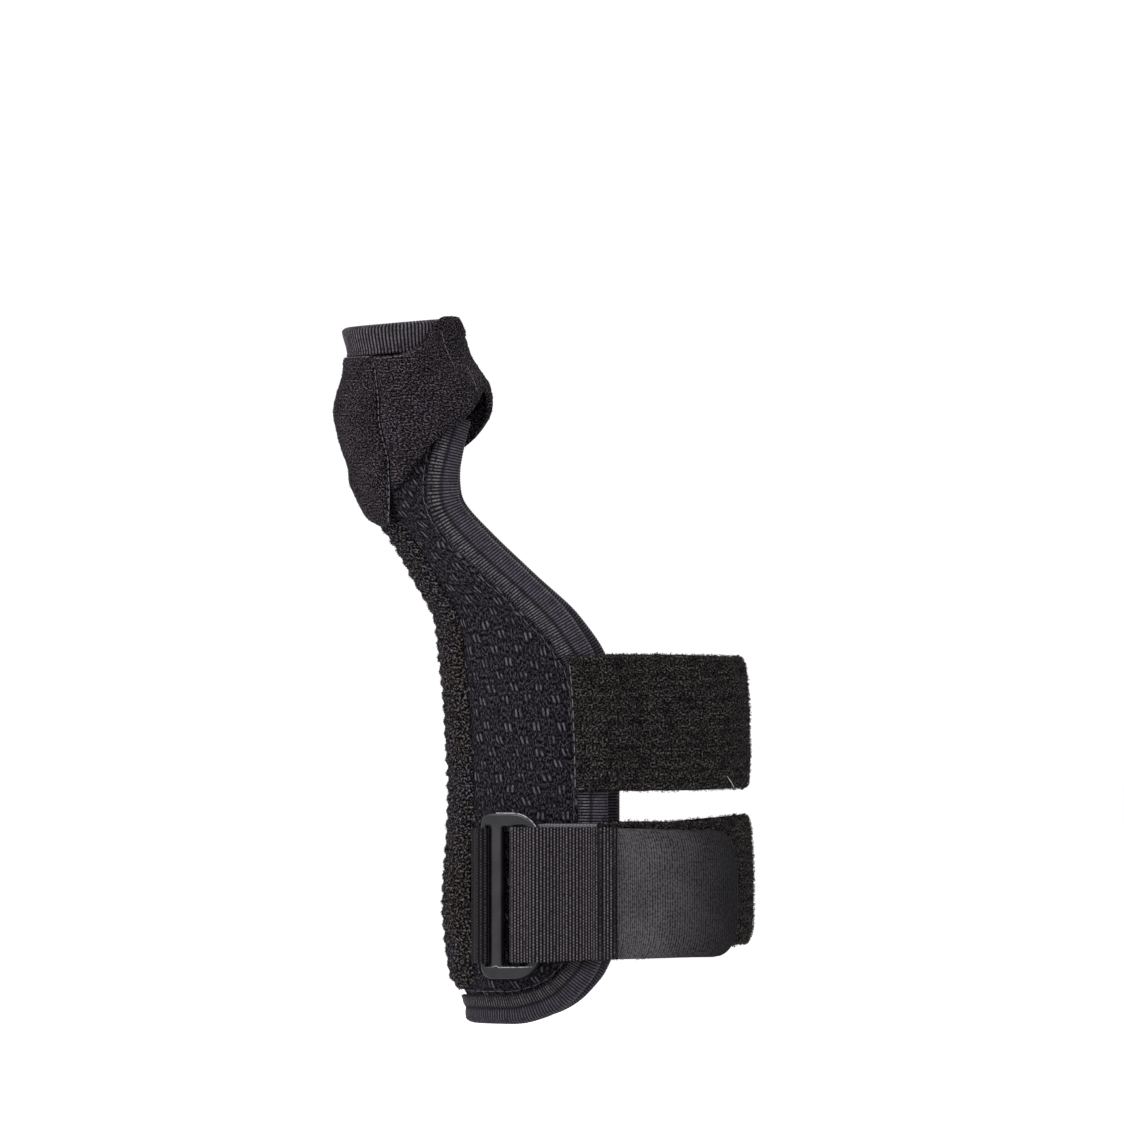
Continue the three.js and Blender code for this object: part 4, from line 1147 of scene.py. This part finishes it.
def slide_buckle():
    bevel = BUCKLE_BEVEL
    flat = bpy.data.curves.new("buckle outline", "CURVE")
    flat.dimensions, flat.fill_mode = "2D", "BOTH"
    half = SLOT_HALF + BUCKLE_END_BAR
    outlines = [
        rounded(BUCKLE_LEFT + bevel, BUCKLE_RIGHT - bevel, half - bevel, *OUTLINE_CORNERS),
        rounded(NARROW_LEFT - bevel * 0.5, MIDDLE_LEFT + bevel, SLOT_HALF + bevel, *NARROW_CORNERS),
        rounded(MIDDLE_RIGHT - bevel, WIDE_RIGHT + bevel, SLOT_HALF + bevel, *WIDE_CORNERS),
    ]
    for outline in outlines:
        spline = flat.splines.new("POLY")
        spline.points.add(len(outline) - 1)
        for point, (x, y) in zip(spline.points, outline):
            point.co = (x, y, 0, 1)
        spline.use_cyclic_u = True
    flat.extrude = BUCKLE_THICKNESS / 2 - bevel
    flat.bevel_depth, flat.bevel_resolution = bevel, 4
    holder = bpy.data.objects.new("buckle outline", flat)
    bpy.context.collection.objects.link(holder)
    made = bpy.data.meshes.new_from_object(holder.evaluated_get(bpy.context.evaluated_depsgraph_get()))
    places = np.array([v.co for v in made.vertices])
    faces = [list(p.vertices) for p in made.polygons]
    bpy.data.objects.remove(holder)
    points = in_buckle(places[:, 0], BUCKLE_FLOOR + BUCKLE_THICKNESS / 2 + places[:, 2], places[:, 1])
    return add_mesh("slide_buckle_moulding", points, faces, places, PLASTIC)


buckle = slide_buckle()
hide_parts("slide_buckle")

# %% [markdown]
# The mould leaves a fine ridge where its halves met, along the upper outline; its light grey is a
# painted highlight on the bevel there. A thin light tube along the lower bar's inner edge is a painted
# highlight only.

# %% Parting line
RIDGE_INSET, RIDGE_SIDES = 0.1, 6
# where the painted highlight runs along the lower bar
LOWER_HIGHLIGHT = ((-7, 0.5), (-5.6, 0.1), (-4.6, 0.6), (5.5, 0.3))  # across, and below the slots


# painted highlight: this light grey stands in for glints on the buckle's bevels; the loose thread uses
# it as its own pale colour
def highlight_and_thread_finish():
    highlight_and_thread = Finish("ridge highlight and pale thread", Specular_IOR_Level=0.2)
    place = highlight_and_thread.cloth()[0]
    patchy = highlight_and_thread.noise(place, 0.7, 2).between(0.3, 0.55)
    return highlight_and_thread.paint(highlight_and_thread.mix(patchy, (0.05, 0.047, 0.052), (0.3, 0.29, 0.3)), 0.6)


HIGHLIGHT_AND_THREAD = highlight_and_thread_finish()


def fine_ridge(name, flat_line, out, radius):
    """A thin tube along points of the buckle's face."""
    corners = np.array(flat_line)
    length = length_along(corners)
    along = np.linspace(0, length[-1], 60)
    x, up = (np.interp(along, length, corners[:, k]) for k in (0, 1))
    line = in_buckle(x, out, up)
    side = np.cross(unit(np.gradient(line, axis=0)), out_of_panel)
    turns = np.radians(np.arange(0, 360, 360 / RIDGE_SIDES))[None, :, None]
    rings = line[:, None] + radius * (np.cos(turns) * side[:, None] + np.sin(turns) * out_of_panel)
    s, t = np.broadcast_arrays(np.zeros((1, RIDGE_SIDES)), along[:, None])
    return sweep(name, rings, s, t, HIGHLIGHT_AND_THREAD, closed=False)


ridge_half = SLOT_HALF + BUCKLE_END_BAR - RIDGE_INSET
ridge_corners = (radius + BUCKLE_BEVEL - RIDGE_INSET for radius in OUTLINE_CORNERS)
ridge_outline = rounded(
    BUCKLE_LEFT + RIDGE_INSET, BUCKLE_RIGHT - RIDGE_INSET, ridge_half, *ridge_corners)
upper_line = [*ridge_outline[:CORNER_POINTS], (BUCKLE_MIDDLE_BAR_X, ridge_half)]
# the upper ridge is the parting line, painted light as a highlight on the bevel
fine_ridge("upper_ridge", upper_line, out=BUCKLE_TOP - 0.35, radius=0.16)
# the lower tube is no ridge: it is a painted highlight along the lower bar's inner edge
lower_line = [(x, -SLOT_HALF - below) for x, below in LOWER_HIGHLIGHT]
fine_ridge("lower_bar_highlight", lower_line, out=BUCKLE_TOP - 0.08, radius=0.12)

# %% [markdown]
# ## The webbing
#
# The webbing's weft lies in close ribs across it, and the warp only breaks them up a little. The grid
# has two points for each rib and for each break, and every second point is raised.
#
# Its path comes from the pile strap, goes under the right bar, up through the slot and back over the
# bar. A spline through a few places of the plain model gives that fold.

# %% Webbing
THREAD_ALONG, THREAD_ACROSS = 0.47, 0.42
SEWN_ROWS, SEWN_SLANT = (0.95, 4.75), 0.45
FOLD_SLACK = 4.4
WEBBING_LOWER_END, WEBBING_UPPER_END = 87.4, 94.7
WEBBING_ROWS = round(STRAP_WIDTH / THREAD_ACROSS) + 1
# how much higher it lies: everywhere, on the lower leg, and at the low edge near the closing tab
ALL_HIGHER, LOWER_LEG_HIGHER, TAB_EDGE_HIGHER = 0.4, 0.9, 1.0


def webbing_finish():
    webbing = Finish("webbing", Specular_IOR_Level=0.08)
    place, s, t, _ = webbing.cloth()
    rib = (s * (math.pi / THREAD_ALONG)).cosine()
    every_second = (s / (2 * THREAD_ALONG) + 0.5).floor() % 2
    breaks = (t * (math.pi / THREAD_ACROSS) + every_second * math.pi).cosine()
    grain = webbing.noise(place, 1.3, 3)
    light = rib.between(-0.3, 0.8) * (breaks.between(-0.6, 0.6) * 0.7 + 0.3) * grain.between(0.25, 0.6)
    # s is 0 at the end that is sewn to the closing tab; both rows of sewing slant a little
    slanted = s + (t - STRAP_WIDTH / 2) * (SEWN_SLANT * 2 / STRAP_WIDTH)
    ragged = webbing.noise(place, 0.8, 2) * 1.6 - 0.8
    sewn = sum(abs(slanted + row + ragged).between(0.75, 0.3) for row in SEWN_ROWS)
    # the buckle's loop, whose s is above 0, is darker than the strap
    light = light * (1 - sewn * 0.75) * (1 - s.between(0, 0.5) * 0.75)
    colour = webbing.mix(light, (0.0012, 0.001, 0.0013), (0.121, 0.105, 0.122))
    # the lower leg's upper edge is painted as a thin lighter line
    selvedge = t.between(36.8, 37.2) * s.between(-30, -34) * (rib * 0.25 + 0.75)
    colour = webbing.mix(selvedge, colour, (0.13, 0.12, 0.135))
    return webbing.paint(colour, 0.78 - light * 0.15, light + grain * 0.25, 0.2)


WEBBING = webbing_finish()


def spline_through(points, spacing):
    """A smooth line through points of the plane, in even steps."""
    points = np.asarray(points)
    last = len(points) - 1
    at = np.linspace(0, last, 60 * last + 1)
    i = np.minimum(at.astype(int), last - 1)
    p0, p1, p2, p3 = (points[np.clip(i + k, 0, last)] for k in (-1, 0, 1, 2))
    w = (at - i)[:, None]
    v0, v1 = (p2 - p0) / 2, (p3 - p1) / 2
    cubic, square = 2 * p1 - 2 * p2 + v0 + v1, -3 * p1 + 3 * p2 - 2 * v0 - v1
    line = cubic * w ** 3 + square * w ** 2 + v0 * w + p1
    length = length_along(line)
    even = np.linspace(0, length[-1], round(length[-1] / spacing) + 1)
    return np.stack([np.interp(even, length, line[:, k]) for k in (0, 1)], 1), even


def at_strap(angle, lift):
    return on_form(angle, FOREARM_STRAP_Z, lift)[:2]


def woven(s, t):
    return 0.05 * np.cos(np.pi * s / THREAD_ALONG) * (0.7 + 0.3 * np.cos(np.pi * t / THREAD_ACROSS))


def ribbon(name, line, along, thickness, raised=lambda s, t: 0):
    """Webbing that stands on edge: line is its middle in the plane, and it is as wide as the strap."""
    run = unit(np.gradient(line, axis=0))
    side = np.stack([-run[:, 1], run[:, 0]], 1)
    s, t = np.meshgrid(along, np.linspace(0, STRAP_WIDTH, WEBBING_ROWS), indexing="ij")
    soft = smooth(np.minimum(t, STRAP_WIDTH - t), -0.3, 0.5)
    half = thickness / 2 * mix(0.55, 1, soft) + woven(s, t)
    up = FOREARM_STRAP_Z - STRAP_WIDTH / 2 + t + raised(s, t)
    faces = []
    for sign in (1, -1):
        flat_places = line[:, None, :] + sign * side[:, None, :] * half[..., None]
        faces.append(np.concatenate([flat_places, up[..., None]], 2))
    rings = np.concatenate([faces[0], faces[1][:, ::-1]], 1)
    all_s, all_t = np.concatenate([s, s], 1), np.concatenate([t, t[:, ::-1]], 1)
    return sweep(name, rings, all_s, all_t, WEBBING, closed=False)


def strap_webbing():
    half = WEBBING_THICKNESS / 2
    clear = CLEARANCE + half
    on_panel = PANEL_THICKNESS + CLEARANCE + half
    over_tape = TAPE_THICKNESS + TAPE_CLEARANCE

    def lower(angle):
        return at_strap(angle, on_panel + over_tape * smooth(angle, 66, 75))

    def upper(angle):
        on_lower = on_panel + over_tape * smooth(angle, 66, 75) + WEBBING_THICKNESS + CLEARANCE
        on_tab = strap_lift(angle) + PILE_THICKNESS + HOOK_THICKNESS + 2 * CLEARANCE + half
        return at_strap(angle, mix(on_lower, on_tab, smooth(angle, 84, 89)))

    over = BUCKLE_TOP + CLEARANCE + half
    fold = WIDE_RIGHT - CLEARANCE - half - FOLD_SLACK
    turns = [(fold + 4.5, clear - 0.1), (fold + 1.4, clear + 0.3),
             (fold, BUCKLE_FLOOR + BUCKLE_THICKNESS / 2), (fold + 1.5, over - 0.1),
             (WIDE_RIGHT, over + 0.15), (BUCKLE_RIGHT, over + 0.1)]
    places = [lower(a) for a in (WEBBING_LOWER_END, 84, 80, 76, 72, 69, 66)]
    places += [in_buckle(x, out)[:2] for x, out in turns]
    places += [upper(a) for a in (74, 77, 80, 83, 86, 88.5, 91, 93, WEBBING_UPPER_END)]
    line, along = spline_through(places, THREAD_ALONG)
    length = along[-1]

    def raised(s, t):
        from_start = s + length
        low_edge = smooth(from_start, 30, 58) * (1 - t / STRAP_WIDTH)
        return ALL_HIGHER + LOWER_LEG_HIGHER * smooth(from_start, 24, 14) + TAB_EDGE_HIGHER * low_edge

    piece = ribbon("woven_webbing", line, along - length, WEBBING_THICKNESS, raised)
    print("the webbing is", round(length, 1), "mm long")
    return piece


webbing_piece = strap_webbing()
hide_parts("strap_webbing")

# %% [markdown]
# A short loop of the same webbing holds the buckle's left bar and is sewn down beside the pocket.

# %% Buckle loop
TAB_END_ANGLE = 33


def buckle_tab():
    half = TAB_THICKNESS / 2
    under, over = BUCKLE_FLOOR - CLEARANCE - half, BUCKLE_TOP + CLEARANCE + half
    lower = PANEL_THICKNESS + CLEARANCE + half
    upper = lower + TAB_THICKNESS + CLEARANCE
    slot_x = (NARROW_LEFT + MIDDLE_LEFT) / 2 + 0.05
    turns = [(BUCKLE_LEFT, under), (slot_x - 0.8, under - 0.05),
             (slot_x, BUCKLE_FLOOR + BUCKLE_THICKNESS * 0.3),
             (slot_x, BUCKLE_FLOOR + BUCKLE_THICKNESS * 0.7),
             (slot_x - 0.45, over), (BUCKLE_LEFT - 0.2, over + 0.1),
             (BUCKLE_LEFT - CLEARANCE - half - 0.7, BUCKLE_FLOOR + BUCKLE_THICKNESS * 0.6)]
    places = [at_strap(TAB_END_ANGLE, lower), at_strap(TAB_END_ANGLE + 4, lower + 0.1)]
    places += [in_buckle(x, out)[:2] for x, out in turns]
    places += [at_strap(TAB_END_ANGLE + 2, upper + 0.1), at_strap(TAB_END_ANGLE, upper)]
    line, along = spline_through(places, THREAD_ALONG)
    piece = ribbon("buckle_loop", line, along, TAB_THICKNESS)
    print("the buckle loop is", round(along[-1]), "mm long")
    return piece


loop_piece = buckle_tab()
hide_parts("buckle_tab")

# %% [markdown]
# ## The closing tab
#
# The closing tab is hook tape, so its shown side is a smooth backing with fine ribs across it, a little
# lighter than the rest. Its tip has round corners.

# %% Closing tab
HOOK_START, HOOK_TIP, HOOK_CORNER = 89.5, 152, 9
FINE_RIB = 0.72
# towards its tip the tab gets narrower and climbs; where it starts its low edge is raised
TIP_NARROWER, TIP_CLIMB, START_TUCK = 0.06, 0.6, 1.4


def hook_finish():
    backing = Finish("hook backing", Specular_IOR_Level=0.05)
    place, s, _, _ = backing.cloth()
    rib = (s * (2 * math.pi / FINE_RIB)).cosine() * 0.5 + 0.5
    grain = backing.noise(place, 1.4, 3)
    patch = backing.noise(place, 0.09, 2)
    lit = rib * 0.5 + grain.between(0.44, 0.56) * 0.35 + patch.between(0.35, 0.65) * 0.15
    # painted shade: the tab is darkened towards its tip, where it curves away from the light
    lit = lit * (1 - s.between(-17, 20) * 0.85)
    colour = backing.mix(lit, (0.001, 0.0009, 0.001), (0.09, 0.082, 0.091))
    return backing.paint(colour, 0.7, rib * 0.7 + grain * 0.3, 0.07)


HOOK = hook_finish()


def hook_tab():
    rows, columns = 113, 153
    half = STRAP_WIDTH / 2
    side = np.linspace(-1, 1, rows)[:, None]
    plain = np.linspace(HOOK_START, HOOK_TIP, columns)[None, :]
    both_ends = on_form(np.array([HOOK_START, HOOK_TIP]), FOREARM_STRAP_Z, 0)
    corner = (HOOK_TIP - HOOK_START) * HOOK_CORNER / np.linalg.norm(both_ends[0] - both_ends[1])
    into = np.maximum(0, np.abs(side) * half - (half - HOOK_CORNER)) / HOOK_CORNER
    stretch = np.clip((plain - STEP_OFF[1]) / (HOOK_TIP - STEP_OFF[1]), 0, 1)
    angle = plain - stretch * corner * (1 - np.sqrt(1 - into ** 2))
    narrow = smooth(plain, 94, 140)
    z = FOREARM_STRAP_Z + side * half * (1 - TIP_NARROWER * narrow) + TIP_CLIMB * narrow
    z = z + START_TUCK * (1 - narrow) * (1 - side) / 2
    base = strap_lift(angle) + PILE_THICKNESS + CLEARANCE
    s, t = places_on_cloth(on_form(angle, z, base))
    t = z - z[:1]
    from_edge = np.minimum(s[:, -1:] - s, half * (1 - np.abs(side)))
    full = mix(0.5, 1, smooth(from_edge, 0, 0.7))
    bend = 0.15 * hills(s / 14, t / 12, 3) * smooth(from_edge, 0, 3)
    outer = on_form(angle, z, base + HOOK_THICKNESS * full + np.maximum(bend, -0.1))
    inner = on_form(angle, z, base)[::COARSE, ::COARSE]
    piece = slab("closing_tab", outer, inner, s, t, HOOK)
    length = middle_length(inner)
    print("the closing tab is", round(length), "mm long")
    return piece


tab_piece = hook_tab()
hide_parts("hook_tab")

# %% [markdown]
# ## The sewing
#
# Each row of stitches is a row of short threads that dip at both ends. One function lays rows along
# any lines of points on the cloth, so all seams are made the same way.

# %% Stitches
def thread_finish(name, dark, light):
    thread = Finish(name, Specular_IOR_Level=0.15)
    _, s, t, _ = thread.cloth()
    twist = (t * 14 + s * 6).cosine() * 0.5 + 0.5
    return thread.paint(thread.mix(twist, dark, light), 0.75, twist, 0.05)


DARK_THREAD = thread_finish("dark thread", (0.0015, 0.0014, 0.0015), (0.01, 0.009, 0.01))
GREY_THREAD = thread_finish("grey thread", (0.05, 0.046, 0.053), (0.13, 0.12, 0.135))


STITCH_SIDES, STITCH_RINGS = 6, 6


def stitches(name, rows, stitch, gap, radius, finish):
    """rows is a list of pairs: the points of a line on the cloth, and the way out of it there."""
    points, faces, cloth = [], [], []
    share = np.linspace(0, 1, STITCH_RINGS)
    arch = np.sin(np.pi * share)
    size = radius * mix(0.45, 1, np.sqrt(arch.clip(0)))
    for line, out in rows:
        length = length_along(line)
        for start in np.arange(0.2, length[-1] - stitch, stitch + gap):
            at = start + stitch * share
            middle, up = (np.stack([np.interp(at, length, grid[:, k]) for k in range(3)], 1)
                          for grid in (line, out))
            up = unit(up)
            side = np.cross(unit(np.gradient(middle, axis=0)), up)
            middle = middle + up * (arch * radius * 1.1 - radius * 0.7)[:, None]
            first = len(points)
            for r in range(STITCH_RINGS):
                for k in range(STITCH_SIDES):
                    turn = 2 * math.pi * k / STITCH_SIDES
                    spoke = math.cos(turn) * side[r] + math.sin(turn) * up[r]
                    points.append(middle[r] + size[r] * spoke)
                    cloth.append((k * 0.2, at[r], 0))
            ring = first + np.arange(STITCH_RINGS * STITCH_SIDES).reshape(STITCH_RINGS, STITCH_SIDES)
            faces += quads(np.concatenate([ring, ring[:, :1]], 1))
            faces += [ring[0, ::-1].tolist(), ring[-1].tolist()]
    return add_mesh(name, np.array(points), faces, cloth, finish)


def on_cloth(angle, z, lift):
    """A line on the cloth and the way out of it."""
    line = on_form(angle, z, lift)
    return line, on_form(angle, z, lift + 1) - line


def along_edge(inward, lift):
    """A line beside the open edge and the way out of it."""
    line = beside_edge(inward, lift)
    return line, beside_edge(inward, lift + 1) - line


hem_lift = panel_thickness(edge_z) + TAPE_CLEARANCE + TAPE_THICKNESS + 0.02
stitches("tape_stitches", [along_edge(5.3, hem_lift)], stitch=2.3, gap=0.7, radius=0.2,
         finish=DARK_THREAD)

turns = np.linspace(0, 360, 200)
rim_z = THUMB_LENGTH - 5.6 + rim_tilt(turns, THUMB_LENGTH)
rim_lift = THUMB_PANEL_THICKNESS + TAPE_CLEARANCE + TAPE_THICKNESS + 0.02
stitches("rim_stitches", [on_cloth(turns, rim_z, rim_lift)], stitch=2.0, gap=0.6, radius=0.18,
         finish=DARK_THREAD)

seam_heights = np.linspace(0.505, 0.93, 120)
seam_turns = seam_angle(seam_heights)
seam_lift = np.maximum(lobe_lift(seam_turns, seam_heights), flap_lift(seam_turns, seam_heights))
seam = on_cloth(seam_turns, z_of(seam_heights), seam_lift + 1.1)
stitches("thumb_seam_thread", [seam], stitch=1.6, gap=0.35, radius=0.18,
         finish=GREY_THREAD)

# below the rim's tape: round the lobe, then along the flap's own upper edge
LOBE_TOP = 0.93
lobe_angles = np.linspace(-70, 58, 90)
lobe_z = z_of(LOBE_TOP) + rim_tilt(lobe_angles, z_of(LOBE_TOP))
lobe_top_lift = lobe_lift(lobe_angles, LOBE_TOP + 0 * lobe_angles) + COVER_THICKNESS - 0.1
flap_shares = np.linspace(0.01, 0.2, 40)
flap_angles = mix(62, 288, flap_shares)
flap_z = z_of(flap_high(flap_shares) - 0.005) + rim_tilt(flap_angles, z_of(0.94))
flap_top_lift = flap_lift(flap_angles, flap_high(flap_shares)) + COVER_THICKNESS - 0.3
rows = [on_cloth(lobe_angles, lobe_z, lobe_top_lift), on_cloth(flap_angles, flap_z, flap_top_lift)]
# two short rows on the flap, from its top towards the web: angle and height at both ends
WEB_ROWS = np.array([((128, 0.985), (133.4, 0.898)), ((149, 0.904), (143, 0.827))])
for ends in WEB_ROWS:
    row_angle, row_height = (np.linspace(*ends[:, k], 60) for k in (0, 1))
    row_z = z_of(row_height) + rim_tilt(row_angle, z_of(row_height))
    row_lift = flap_lift(row_angle, row_height) + COVER_THICKNESS + 0.45
    rows.append(on_cloth(row_angle, row_z, row_lift - flap_thinner(row_angle, row_height)))
stitches("flap_threads", rows, stitch=1.5, gap=0.25, radius=0.12,
         finish=GREY_THREAD)

# a light row in the knit, just inside the tape
inner_row = along_edge(7.5, panel_thickness(edge_z) + 0.12)
stitches("edge_seam_thread", [inner_row], stitch=2.6, gap=0.5, radius=0.1,
         finish=GREY_THREAD)

# %% [markdown]
# The webbing's end is sewn to the closing tab with two dark rows. The wrist strap is sewn to the panel
# with a row along its end and a short one along its lower corner. One light thread has come loose at
# the turn on the little finger side.

# %% Strap stitches
SEWN_IN = 0.9  # degrees from the wrist strap's end to its row
# the loose thread's angles and places up, from end to end
LOOSE_THREAD = ((147.2, 153.3), (-14.9, -18.6))
strap_z = np.linspace(-STRAP_WIDTH / 2 + 0.8, STRAP_WIDTH / 2 - 0.8, 60)


def across_strap(angle, lift, centre, slant=0):
    """slant is how many degrees further round the lower end lies than the middle."""
    return on_cloth(angle - slant * strap_z / strap_z[-1], centre + strap_z, lift)


tab_top = PILE_THICKNESS + HOOK_THICKNESS + 2 * CLEARANCE + WEBBING_THICKNESS
rows = [across_strap(a, strap_lift(a) + tab_top + 0.02, FOREARM_STRAP_Z + 0.9, slant=0.6)
        for a in (88.5, 93.4)]
stitches("webbing_stitches", rows, stitch=1.7, gap=0.6, radius=0.27,
         finish=DARK_THREAD)

row_start = WRIST_STRAP_ENDS[0] + SEWN_IN
corner_angles = np.linspace(row_start, WRIST_STRAP_ENDS[0] + 8, 20)
corner_lift = strap_lift(corner_angles) + PILE_THICKNESS + 0.1
rows = [across_strap(row_start, strap_lift(80) + PILE_THICKNESS + 0.1, WRIST_STRAP_Z),
        on_cloth(corner_angles, WRIST_STRAP_Z + 0.6 - STRAP_WIDTH / 2, corner_lift)]
stitches("wrist_strap_stitches", rows, stitch=2.4, gap=0.8, radius=0.16,
         finish=GREY_THREAD)

loose_angles, loose_z = (np.linspace(*ends, 12) for ends in LOOSE_THREAD)
loose = on_cloth(loose_angles, loose_z, CLEARANCE + PILE_THICKNESS + 0.45)
# the loose thread shares the pale colour of the buckle's painted highlights
stitches("loose_thread", [loose], stitch=4.6, gap=1, radius=0.13,
         finish=HIGHLIGHT_AND_THREAD)

# %% [markdown]
# ## The floor's finish
#
# The floor is a plain pale surface.

# %% Finish
pale = Finish("pale floor", Roughness=0.9, Specular_IOR_Level=0.1)
floor_grain = pale.noise(pale.node("ShaderNodeTexCoord", {}, {}, "Object"), 3.0, 2)
floor_colour = pale.mix(floor_grain, (0.95, 0.95, 0.95), (0.97, 0.97, 0.97))
floor.data.materials.append(pale.paint(floor_colour))
